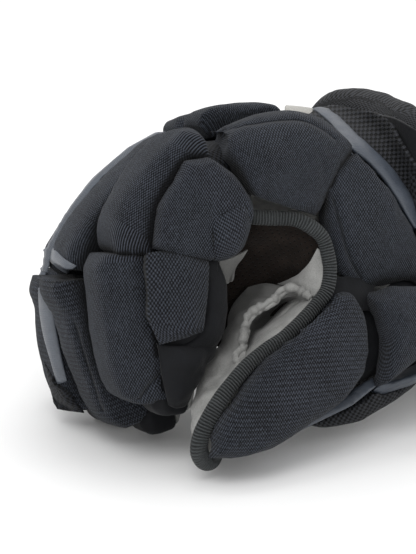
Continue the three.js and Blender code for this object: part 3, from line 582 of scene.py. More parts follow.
def perforated(name, colour):
    """Dark suede with rows of small holes."""
    s = Shader(name, roughness=0.9, sheen=0.05, specular=0.15)
    x, y, _ = s.split(s.kept("weave").outputs["Vector"])
    holes = s.span(lattice(s, x, y, 3.2, 2.2), 0.8, 0.93)
    nap = s.lumps(0.6, 4, roughness=0.7)
    patches = s.lumps(9, 3)
    shade = s.math("MULTIPLY_ADD", patches, 0.8, s.math("MULTIPLY", nap, 0.5))
    base = s.ramp(shade, [(0.4, scaled(colour, 0.5)), (0.7, colour), (1.0, scaled(colour, 2.4))])
    base = s.mix(holes, base, scaled(colour, 0.1))
    height = s.math("MULTIPLY_ADD", s.lumps(5, 2), 2.0, nap)
    height = s.math("SUBTRACT", height, s.math("MULTIPLY", holes, 3))
    return s.finish(base, height, 0.2)


def coated(name, colour):
    """Coated synthetic strip: satin, with fine grooves along it."""
    s = Shader(name, roughness=0.42, sheen=0.0, specular=0.55)
    x, y, _ = s.split(s.kept("weave").outputs["Vector"])
    grooves = s.math("COSINE", s.math("MULTIPLY", y, 2 * math.pi / 1.1))
    soft = s.lumps(0.7, 3)
    patches = s.lumps(10, 3)
    shade = s.math("MULTIPLY_ADD", patches, 0.5, s.math("MULTIPLY", soft, 0.4))
    base = s.ramp(shade, [(0.25, scaled(colour, 0.65)), (0.5, colour), (0.8, scaled(colour, 1.35))])
    height = s.math("MULTIPLY_ADD", grooves, 0.3, soft)
    worn = s.span(patches, 0.3, 0.7, 0.34, 0.52)
    return s.finish(base, height, 0.12, roughness=worn)


def ribbed_tape(name, colour):
    """Binding tape: light ribs with dark valleys between them."""
    s = Shader(name, roughness=0.85, sheen=0.08, specular=0.15)
    run = s.kept("run").outputs["Fac"]
    wobble = s.math("MULTIPLY", s.lumps(3, 2), 0.7)
    ribs = s.math("COSINE", s.math("MULTIPLY", s.math("ADD", run, wobble), 2 * math.pi / RIB_PITCH))
    shade = s.math("MULTIPLY_ADD", ribs, 0.3, s.math("MULTIPLY", s.lumps(0.5, 2), 0.9))
    shade = s.math("MULTIPLY_ADD", s.lumps(12, 2), 0.25, shade)
    base = s.ramp(shade, [(0.2, scaled(colour, 0.2)), (0.6, colour), (1.0, scaled(colour, 2.0))])
    return s.finish(base, ribs, 0.25)


def plain(name, colour, roughness=0.6):
    s = Shader(name, roughness=roughness, sheen=0.1, specular=0.4)
    soft = s.lumps(0.8, 3)
    base = s.ramp(soft, [(0.3, scaled(colour, 0.8)), (0.6, colour), (0.85, scaled(colour, 1.15))])
    return s.finish(base, soft, 0.15)


RIB_PITCH = 1.35
RIB_HEIGHT = 0.32
NAVY = (0.0134, 0.0153, 0.0196)
LOOKS = {
    "knit": knit("navy_knit", NAVY),
    "coarse": knit("coarse_knit", scaled(NAVY, 0.85), wale=1.6, course=1.2),
    "ribbed": knit("ribbed_knit", NAVY, wale=1.4, ribs=2.3),
    "mesh": mesh_cloth("black_mesh", (0.0075, 0.008, 0.0095)),
    "cloth": woven("black_cloth", (0.0035, 0.004, 0.0055)),
    "suede": suede("grey_suede", (0.27, 0.27, 0.262)),
    "gusset": perforated("brown_gusset", (0.014, 0.01, 0.008)),
    "strip": coated("coated_strip", (0.05, 0.06, 0.078)),
    "bright_strip": coated("bright_coated_strip", (0.085, 0.096, 0.115)),
    # A darker copy of the black mesh, as painted shade on the backhand base between the pads; it also colours
    # the mesh at the ring's tip.
    "base": mesh_cloth("shade_dark_mesh", (0.004, 0.0045, 0.006)),
    "accent": plain("pale_synthetic", (0.42, 0.41, 0.385)),
    "webbing": ribbed_tape("ribbed_webbing", (0.032, 0.035, 0.036)),
}


def dress(piece, look, *nodes):
    """Gives a piece its material and its body, and hides the CAD nodes that it stands for."""
    piece.data.materials.clear()
    piece.data.materials.append(LOOKS[look])
    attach(piece, "root")
    if nodes:
        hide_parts(*nodes)
    return piece


# Soft pads: remeshed, swollen by a cloth simulation, subdivided, then creased

SWELL_FRAMES = 20
PRESSURE = 4.0
VOXEL_SHARE = 0.8
SHRINK_SHARE = 0.3  # of how far a pad may swell, taken off before it does

# node: voxel in mm, how far it may swell in mm, subdivision levels, look
PADS = {
    "index_tip_roll": (3.2, 2.0, 2, "knit"),
    "index_knuckle_roll": (3.2, 2.0, 2, "knit"),
    "middle_tip_roll": (3.2, 2.0, 2, "ribbed"),
    "middle_knuckle_roll": (3.2, 2.0, 2, "knit"),
    "ring_tip_roll": (3.4, 2.0, 1, "ribbed"),
    "ring_knuckle_roll": (3.4, 2.0, 1, "ribbed"),
    "pinky_tip_roll": (3.4, 2.0, 1, "knit"),
    "pinky_knuckle_roll": (3.4, 2.0, 1, "knit"),
    "index_side_pad_upper": (2.6, 1.6, 2, "knit"),
    "index_side_underlay": (1.8, 0.6, 1, "cloth"),
    "index_backhand_pad": (3.4, 2.2, 2, "knit"),
    "middle_backhand_pad": (3.0, 2.0, 1, "knit"),
    "ring_backhand_pad": (3.0, 2.0, 1, "knit"),
    "pinky_backhand_pad": (3.0, 2.0, 1, "knit"),
    "thumb_pad": (3.2, 2.0, 2, "ribbed"),
    "wrist_pad_upper": (3.2, 2.0, 2, "knit"),
    "wrist_pad_lower": (3.2, 2.0, 2, "knit"),
    "thumb_side_mesh": (3.2, 1.2, 1, "mesh"),
    "cuff_roll": (3.2, 1.2, 1, "mesh"),
    "wrist_mesh_panel": (2.6, 1.0, 1, "mesh"),
    "backhand_band": (2.2, 0.8, 1, "accent"),
    "cuff_back_band": (3.6, 1.2, 1, "accent"),
    "cuff_back_panel": (4.5, 2.0, 1, "knit"),
    "cuff_thumb_panel": (4.5, 2.0, 1, "knit"),
    "cuff_pinky_panel": (4.5, 2.0, 1, "knit"),
}


def make_pads():
    """All soft pads, as loose objects with their rest points."""
    made = {}
    for node, (voxel, cap, levels, look) in PADS.items():
        piece = copy_of(node, node + "_cover")
        remesh(piece, voxel * VOXEL_SHARE, 1)
        place_points(piece, points_of(piece) - normals_of(piece) * cap * SHRINK_SHARE * MM)
        made[node] = piece
    return made


def swell(pads):
    """Presses the pads out from inside, all in one simulation, and caps how far each point moves."""
    for piece in pads.values():
        cloth = piece.modifiers.new("swell", "CLOTH")
        cloth.settings.use_pressure = True
        cloth.settings.uniform_pressure_force = PRESSURE
        cloth.settings.effector_weights.gravity = 0
        cloth.settings.quality = 4
        cloth.point_cache.frame_start = 1
        cloth.point_cache.frame_end = SWELL_FRAMES
    scene = bpy.context.scene
    for step in range(1, SWELL_FRAMES + 1):
        scene.frame_set(step)
    graph = bpy.context.evaluated_depsgraph_get()
    for node, piece in pads.items():
        before = points_of(piece)
        mesh = piece.evaluated_get(graph).to_mesh()
        after = np.zeros(len(mesh.vertices) * 3)
        mesh.vertices.foreach_get("co", after)
        move = after.reshape(-1, 3) - before
        far = np.linalg.norm(move, axis=1)
        cap = PADS[node][1] * MM
        share = np.minimum(1, cap / np.maximum(far, 1e-9))
        piece.modifiers.clear()
        place_points(piece, before + move * share[:, None])
    scene.frame_set(1)


def unroll(points, origin, along, up):
    """Cloth coordinates of a pad in mm, its sides folded out, and how far each point is down its side."""
    along = np.array(along)
    up = np.array(up)
    along = along - up * (along @ up)
    along /= np.linalg.norm(along)
    across = np.cross(up, along)
    local = (points - origin) / MM
    a, b, h = local @ along, local @ across, local @ up
    drop = np.maximum(0, np.percentile(h, 99) - h)
    stretch = 1 + drop / np.maximum(np.hypot(a, b), 1e-3)
    return a * stretch, b * stretch, drop


def route_of(name):
    """Knuckle, middle joint and end of a finger in the hand's own frame."""
    row = FINGERS[name]
    knuckle = np.array([row["knuckle"][0], row["slot"] * FINGER_PITCH, row["knuckle"][1]])
    stops = [knuckle]
    for length, angle in (row["first"], row["second"]):
        a = math.radians(angle)
        stops.append(stops[-1] + np.array([-math.cos(a) * length, 0, -math.sin(a) * length]))
    return stops


def weave_roll(piece, finger):
    """Cloth coordinates of a finger roll: x across it, y along the finger."""
    local = in_hand(points_of(piece))
    knuckle, joint, end = route_of(finger)
    line = [knuckle + np.array([40, 0, 0]), knuckle, joint, end]
    flat = local.copy()
    flat[:, 1] = knuckle[1]
    height, run = line_distance(flat, line)
    drop = np.maximum(0, np.percentile(height, 96) - height)
    side = local[:, 1] - knuckle[1]
    across = side + np.sign(side) * drop * np.clip(np.abs(side) / 6, 0, 1)
    give(piece, "weave", np.stack([across, run, drop], 1))
    give(piece, "seam", np.full(len(local), NO_SEAM))


def weave_pad(piece, turn=0.0):
    """Cloth coordinates of a pad that lies on the hand: turn sets the direction of its knit in degrees."""
    points = points_of(piece)
    middle = points.mean(0)
    inside = np.array(hand(40, 0, 20))
    _, axes = np.linalg.eigh(np.cov((points - middle).T))
    up = axes[:, 0] * np.sign(axes[:, 0] @ (middle - inside))
    forward = np.array(HAND_TURN @ Vector((math.cos(math.radians(turn)), 0, math.sin(math.radians(turn)))))
    a, b, drop = unroll(points, middle, forward, up)
    give(piece, "weave", np.stack([a, b, drop], 1))
    give(piece, "seam", np.full(len(points), NO_SEAM))


def weave_along(piece, line, radius):
    """Cloth coordinates of a tube-like piece: x round it, y along its line in the hand's own frame."""
    local = in_hand(points_of(piece))
    line = np.array(line, float)
    _, run = line_distance(local, line)
    runs = np.concatenate([[0], np.cumsum(np.linalg.norm(np.diff(line, axis=0), axis=1))])
    centre = np.stack([np.interp(run, runs, line[:, k]) for k in range(3)], 1)
    tangent = np.gradient(line, runs, axis=0)
    along = np.stack([np.interp(run, runs, tangent[:, k]) for k in range(3)], 1)
    out = local - centre
    side = np.cross(along, [0, 0, 1.0])
    side /= np.linalg.norm(side, axis=1)[:, None]
    up = np.cross(side, along)
    angle = np.arctan2((out * up).sum(1), (out * side).sum(1))
    give(piece, "weave", np.stack([angle * radius, run, run * 0], 1))
    give(piece, "seam", np.full(len(local), NO_SEAM))


def give_shade(piece, tree):
    """Keeps on each point how far the pads around it hide it, 0 in the open to 1: the knit paints shade
    there.
    """
    rays = []
    for k in range(SHADE_RAYS):
        height = 1 - (k + 0.5) / SHADE_RAYS * 0.9
        turn = k * GOLDEN_ANGLE
        spread = math.sqrt(1 - height**2)
        rays.append((math.cos(turn) * spread, math.sin(turn) * spread, height))
    reach = SHADE_REACH * MM
    hidden = []
    for point, normal in zip(piece.data.vertices, normals_of(piece)):
        normal = Vector(normal)
        side = normal.orthogonal().normalized()
        other = normal.cross(side)
        start = point.co + normal * 0.6 * MM
        total = 0.0
        for x, y, z in rays:
            _, _, _, far = tree.ray_cast(start, side * x + other * y + normal * z, reach)
            total += 0 if far is None else 1 - far / reach
        hidden.append(total / SHADE_RAYS)
    give(piece, "hidden", hidden)


def mark_seams(piece, lines):
    """Keeps on each point its distance to the nearest seam, each a line of pixels over the piece."""
    tree = tree_of(piece)
    local = in_hand(points_of(piece))
    nearest = np.full(len(local), NO_SEAM)
    for line in lines:
        places = [seen_on(px, py, tree) for px, py in line]
        places = [place for place in places if place is not None]
        if len(places) > 1:
            away, _ = line_distance(local, smooth_line(places, 1.0))
            nearest = np.minimum(nearest, away)
    piece.data.attributes["seam"].data.foreach_set("value", nearest)
    dent = CREASE_DEPTH * MM * np.exp(-((nearest / CREASE_WIDTH) ** 2))
    place_points(piece, points_of(piece) - normals_of(piece) * dent[:, None])


def rumple(piece, folds=0.35, dents=0.7, seed=1.0):
    """Gentle unevenness of soft foam under cloth, in mm."""
    points = points_of(piece)
    fine = lumps(points, 9, seed)
    broad = lumps(points, 28, seed + 5)
    move = (-np.abs(fine) * folds + broad * dents) * MM
    place_points(piece, points + normals_of(piece) * move[:, None])


SHADE_RAYS = 12
SHADE_REACH = 16
GOLDEN_ANGLE = 2.399963
CREASE_DEPTH = 1.1
CREASE_WIDTH = 2.2

# The split between first and second finger row, moved down the finger: mm, a finger each
JOINT_SLIDE = {"index": 3, "middle": 6.5, "ring": 8.5, "pinky": 8}
JOINT_ROUND = 16
SLIDE_BEFORE = 34
SLIDE_AFTER = 54


def slide_joint(piece, finger):
    """Stretches the first roll over the joint and shortens the second, along the bent finger."""
    knuckle, joint, end = route_of(finger)
    before = (joint - knuckle) / np.linalg.norm(joint - knuckle)
    after = (end - joint) / np.linalg.norm(end - joint)
    first, last = joint - before * JOINT_ROUND, joint + after * JOINT_ROUND
    bend = [(1 - t) ** 2 * first + 2 * t * (1 - t) * joint + t * t * last for t in np.linspace(0, 1, 17)]
    line = np.array([knuckle - before * 60, *bend, end + after * 30])
    runs = np.concatenate([[0], np.cumsum(np.linalg.norm(np.diff(line, axis=0), axis=1))])
    tangents = np.gradient(line, runs, axis=0)
    normals = np.stack([tangents[:, 2], tangents[:, 1], -tangents[:, 0]], 1)
    local = in_hand(points_of(piece))
    flat = local.copy()
    flat[:, 1] = knuckle[1]
    _, run = line_distance(flat, line)

    def on_line(values, at):
        return np.stack([np.interp(at, runs, values[:, k]) for k in range(3)], 1)

    middle = runs[9]
    t = np.where(run < middle, 1 - (middle - run) / SLIDE_BEFORE, 1 - (run - middle) / SLIDE_AFTER)
    t = np.clip(t, 0, 1)
    slid = run + JOINT_SLIDE[finger] * t * t * (3 - 2 * t)
    out = ((flat - on_line(line, run)) * on_line(normals, run)).sum(1)[:, None]
    rest = flat - on_line(line, run) - on_line(normals, run) * out
    moved = on_line(line, slid) + on_line(normals, slid) * out + rest
    moved[:, 1] += local[:, 1] - knuckle[1]
    place_points(piece, [hand(*place) for place in moved])


def on_roll(node):
    return node.endswith(("_tip_roll", "_knuckle_roll", "_tip_strip", "_knuckle_strip"))


# Where a pad's outline is seen at rest, and the pixel where the photograph has it
NUDGES = {
    "index_knuckle_roll": [
        (183, 122, 166, 131), (205, 121, 186, 126), (222, 130, 200, 137), (229, 148, 209, 150),
        (150, 148, 146, 143), (103, 222, 97, 217), (105, 243, 104, 246), (150, 250, 150, 251),
        (170, 210, 165, 205),
    ],
    "middle_knuckle_roll": [
        (165, 131, 160, 134), (125, 150, 127, 148), (90, 185, 91, 186), (60, 225, 60, 222),
        (44, 250, 48, 240), (44, 270, 49, 262), (62, 273, 64, 270), (84, 273, 84, 271),
        (100, 235, 98, 236),
    ],
    "ring_knuckle_roll": [
        (40, 268, 42, 260), (55, 272, 58, 273), (45, 240, 44, 238), (90, 180, 92, 178),
        (125, 148, 127, 146),
    ],
    "index_tip_roll": [
        (84, 258, 84, 260), (115, 253, 112, 250), (148, 258, 148, 250), (88, 300, 88, 300),
        (105, 385, 105, 385), (140, 402, 140, 402), (165, 392, 168, 396), (158, 345, 160, 345),
    ],
    "index_backhand_pad": [
        (210, 119, 217, 132), (235, 112, 240, 121), (270, 109, 266, 112), (300, 112, 303, 111),
        (230, 150, 223, 155), (247, 192, 247, 192), (347, 150, 353, 147), (325, 205, 321, 207),
        (285, 203, 285, 207),
    ],
    "index_side_pad_upper": [
        (222, 166, 206, 156), (238, 172, 224, 165), (243, 190, 250, 196), (195, 180, 182, 172),
        (170, 213, 157, 210), (147, 240, 152, 246), (180, 248, 183, 252), (212, 257, 214, 258),
    ],
    "thumb_pad": [
        (348, 301, 341, 291), (340, 305, 331, 302), (325, 325, 315, 322), (305, 345, 293, 340),
        (280, 368, 266, 362), (250, 395, 240, 390), (235, 420, 226, 413), (222, 440, 212, 437),
        (213, 455, 208, 454), (225, 463, 222, 457), (240, 463, 240, 454), (260, 448, 262, 444),
        (290, 430, 290, 427), (320, 413, 320, 411), (350, 395, 350, 388), (362, 382, 361, 374),
        (368, 350, 366, 345), (360, 315, 359, 304),
    ],
    "wrist_pad_upper": [
        (352, 160, 352, 151), (340, 183, 332, 178), (325, 210, 321, 206), (330, 235, 326, 235),
        (345, 265, 337, 266), (352, 283, 347, 284), (375, 279, 375, 285), (416, 277, 416, 277),
        (375, 200, 383, 195), (400, 245, 403, 236),
    ],
    "wrist_pad_lower": [
        (357, 285, 368, 291), (366, 296, 372, 304), (378, 335, 378, 337), (378, 380, 374, 384),
        (416, 277, 416, 283), (400, 279, 400, 285), (414, 378, 414, 362),
    ],
    "thumb_stall_palm": [
        (180, 440, 197, 440), (181, 452, 201, 450), (184, 425, 193, 426), (200, 400, 202, 400),
        (195, 465, 203, 461), (240, 360, 240, 360), (300, 320, 300, 320), (240, 440, 240, 440),
        (360, 290, 358, 286),
    ],
    "thumb_stall_back": [
        (184, 445, 197, 442), (190, 462, 202, 454), (205, 474, 211, 461), (225, 470, 225, 456),
        (245, 460, 245, 447), (270, 442, 270, 432), (300, 422, 300, 413), (330, 405, 330, 398),
        (300, 340, 300, 340), (250, 385, 250, 385), (350, 330, 350, 330),
    ],
    "cuff_roll": [
        (322, 106, 312, 106), (335, 96, 330, 93), (352, 92, 350, 89), (370, 97, 375, 93),
        (400, 112, 400, 101), (416, 125, 416, 108), (416, 230, 420, 232),
    ],
}

# Seams and creases of the pads, in pixels
SEAMS = {
    "index_backhand_pad": [[(222, 134), (250, 123), (300, 119), (336, 138)]],
    "middle_tip_roll": [[(64, 278), (76, 330), (90, 375), (102, 412)]],
    "index_side_gusset": [[(208, 232), (211, 238), (209, 246)]],
    "index_tip_roll": [[(140, 400), (150, 386), (164, 372)]],
    "wrist_pad_upper": [[(334, 200), (341, 230), (352, 262), (362, 280)]],
}

# Middle line of the roll at the cuff: pixel across, pixel down, depth in mm
CUFF_ROLL_LINE = [
    (306, 112, 42), (325, 102, 24), (350, 98, 4), (375, 104, -16), (400, 116, -36), (420, 134, -48),
    (430, 200, -54),
]
CUFF_ROLL_RADIUS = 7

pads = make_pads()
swell(pads)
for node, piece in pads.items():
    if on_roll(node):
        slide_joint(piece, node.split("_")[0])
    if node in NUDGES:
        nudge(piece, NUDGES[node])
all_pads = tree_of(*pads.values())
for number, (node, piece) in enumerate(pads.items()):
    voxel, cap, levels, look = PADS[node]
    # Painted shade: how hidden each point is, for darker knit between the pads.
    give_shade(piece, all_pads)
    subdivide(piece, levels)
    rumple(piece, seed=number)
    if node.endswith(("_tip_roll", "_knuckle_roll")):
        weave_roll(piece, node.split("_")[0])
    elif node == "cuff_roll":
        weave_along(piece, [seen(*place) for place in CUFF_ROLL_LINE], CUFF_ROLL_RADIUS)
    else:
        weave_pad(piece)
    if node in SEAMS:
        mark_seams(piece, SEAMS[node])
    dress(piece, look, node)

# Thin leather and cloth shells of the inner glove, and the strips

# node: voxel in mm, smoothing rounds, share of faces kept, look
SHELLS = {
    "palm": (1.3, 6, 0.35, "suede"),
    # Darker mesh on the backhand base: painted shade between the pads.
    "backhand_base": (1.3, 6, 0.3, "base"),
    "thumb_stall_palm": (1.0, 6, 0.5, "suede"),
    "thumb_stall_back": (1.3, 6, 0.35, "cloth"),
    "cuff_palm_band": (1.6, 3, 0.6, "cloth"),
    "backhand_strip": (1.1, 3, 1.0, "strip"),
    "thumb_edge_strip": (1.1, 3, 1.0, "strip"),
    "wrist_pad_strip": (1.2, 3, 1.0, "strip"),
    "ring_knuckle_strip": (0.7, 2, 1.0, "strip"),
    "pinky_tip_strip": (0.7, 2, 1.0, "strip"),
    "pinky_knuckle_strip": (0.7, 2, 1.0, "strip"),
}
for finger in FINGERS:
    SHELLS[finger + "_stall_palm"] = (1.2, 5, 0.5, "suede")
    SHELLS[finger + "_stall_back"] = (1.2, 5, 0.4, "cloth")

for node, (voxel, rounds, share, look) in SHELLS.items():
    piece = copy_of(node, node + "_cover")
    remesh(piece, voxel, rounds)
    if share < 1:
        thin = piece.modifiers.new("thin", "DECIMATE")
        thin.ratio = share
        bake(piece)
    if on_roll(node):
        slide_joint(piece, node.split("_")[0])
    if node in NUDGES:
        nudge(piece, NUDGES[node])
    weave_pad(piece)
    dress(piece, look, node)

# Ribbed binding round the thumb opening, swept along its middle line: pixel across, pixel down, depth in mm

BINDING_LINE = [
    (249, 217, -56), (268, 218, -58), (292, 219, -61), (308, 225, -63), (322, 237, -64),
    (328, 255, -65), (330, 272, -66), (327, 290, -67), (318, 303, -68), (305, 318, -70),
    (285, 337, -72), (265, 351, -73), (248, 365, -74), (235, 380, -75), (222, 397, -76),
    (211, 415, -76), (202, 433, -75), (199, 450, -73), (204, 460, -69), (211, 460, -64),
    (216, 452, -56),
]
BINDING_WIDTH = 6.8
BINDING_FLARE = 0.4  # how much wider it is at the thumb's tip
BINDING_THICKNESS = 4.8


def ribbed_band(name, line, width, thickness, out):
    """A rounded tape with ribs across it, along a line in the hand's own frame, its face towards out."""
    step = RIB_PITCH / 4
    line = smooth_line(line, step)
    tangents = np.gradient(line, axis=0)
    tangents /= np.linalg.norm(tangents, axis=1)[:, None]
    out = np.array(out, float)
    sides = 14
    rings = []
    for i, (centre, run) in enumerate(zip(line, tangents)):
        side = np.cross(run, out)
        side /= np.linalg.norm(side)
        face = np.cross(side, run)
        rib = 1 + RIB_HEIGHT * math.cos(2 * math.pi * i / 4) / (thickness / 2)
        wander = 1 + 0.05 * noise.noise(Vector(centre) / 9)
        wander += BINDING_FLARE * max(0, 2.5 * i / len(line) - 1.5)
        for k in range(sides):
            angle = 2 * math.pi * (k + 0.5) / sides
            c, s = math.cos(angle), math.sin(angle)
            u = math.copysign(abs(c) ** 0.75, c) * width / 2 * wander
            v = math.copysign(abs(s) ** 0.85, s) * thickness / 2 * rib
            rings.append(centre + side * u + face * v)
    count = len(line)
    made = link(name, mesh_from(name, [hand(*p) for p in rings], skin(count, sides)))
    give(made, "run", np.repeat(np.arange(count) * step, sides))
    return made


binding_line = [seen(*place) for place in BINDING_LINE]
binding = ribbed_band("web_binding_ribbed", binding_line, BINDING_WIDTH, BINDING_THICKNESS, (0, -1, 0))
dress(binding, "webbing", "web_binding")

# Pieces drawn where the photograph shows them, from rows of places (pixel across, pixel down, depth in mm)

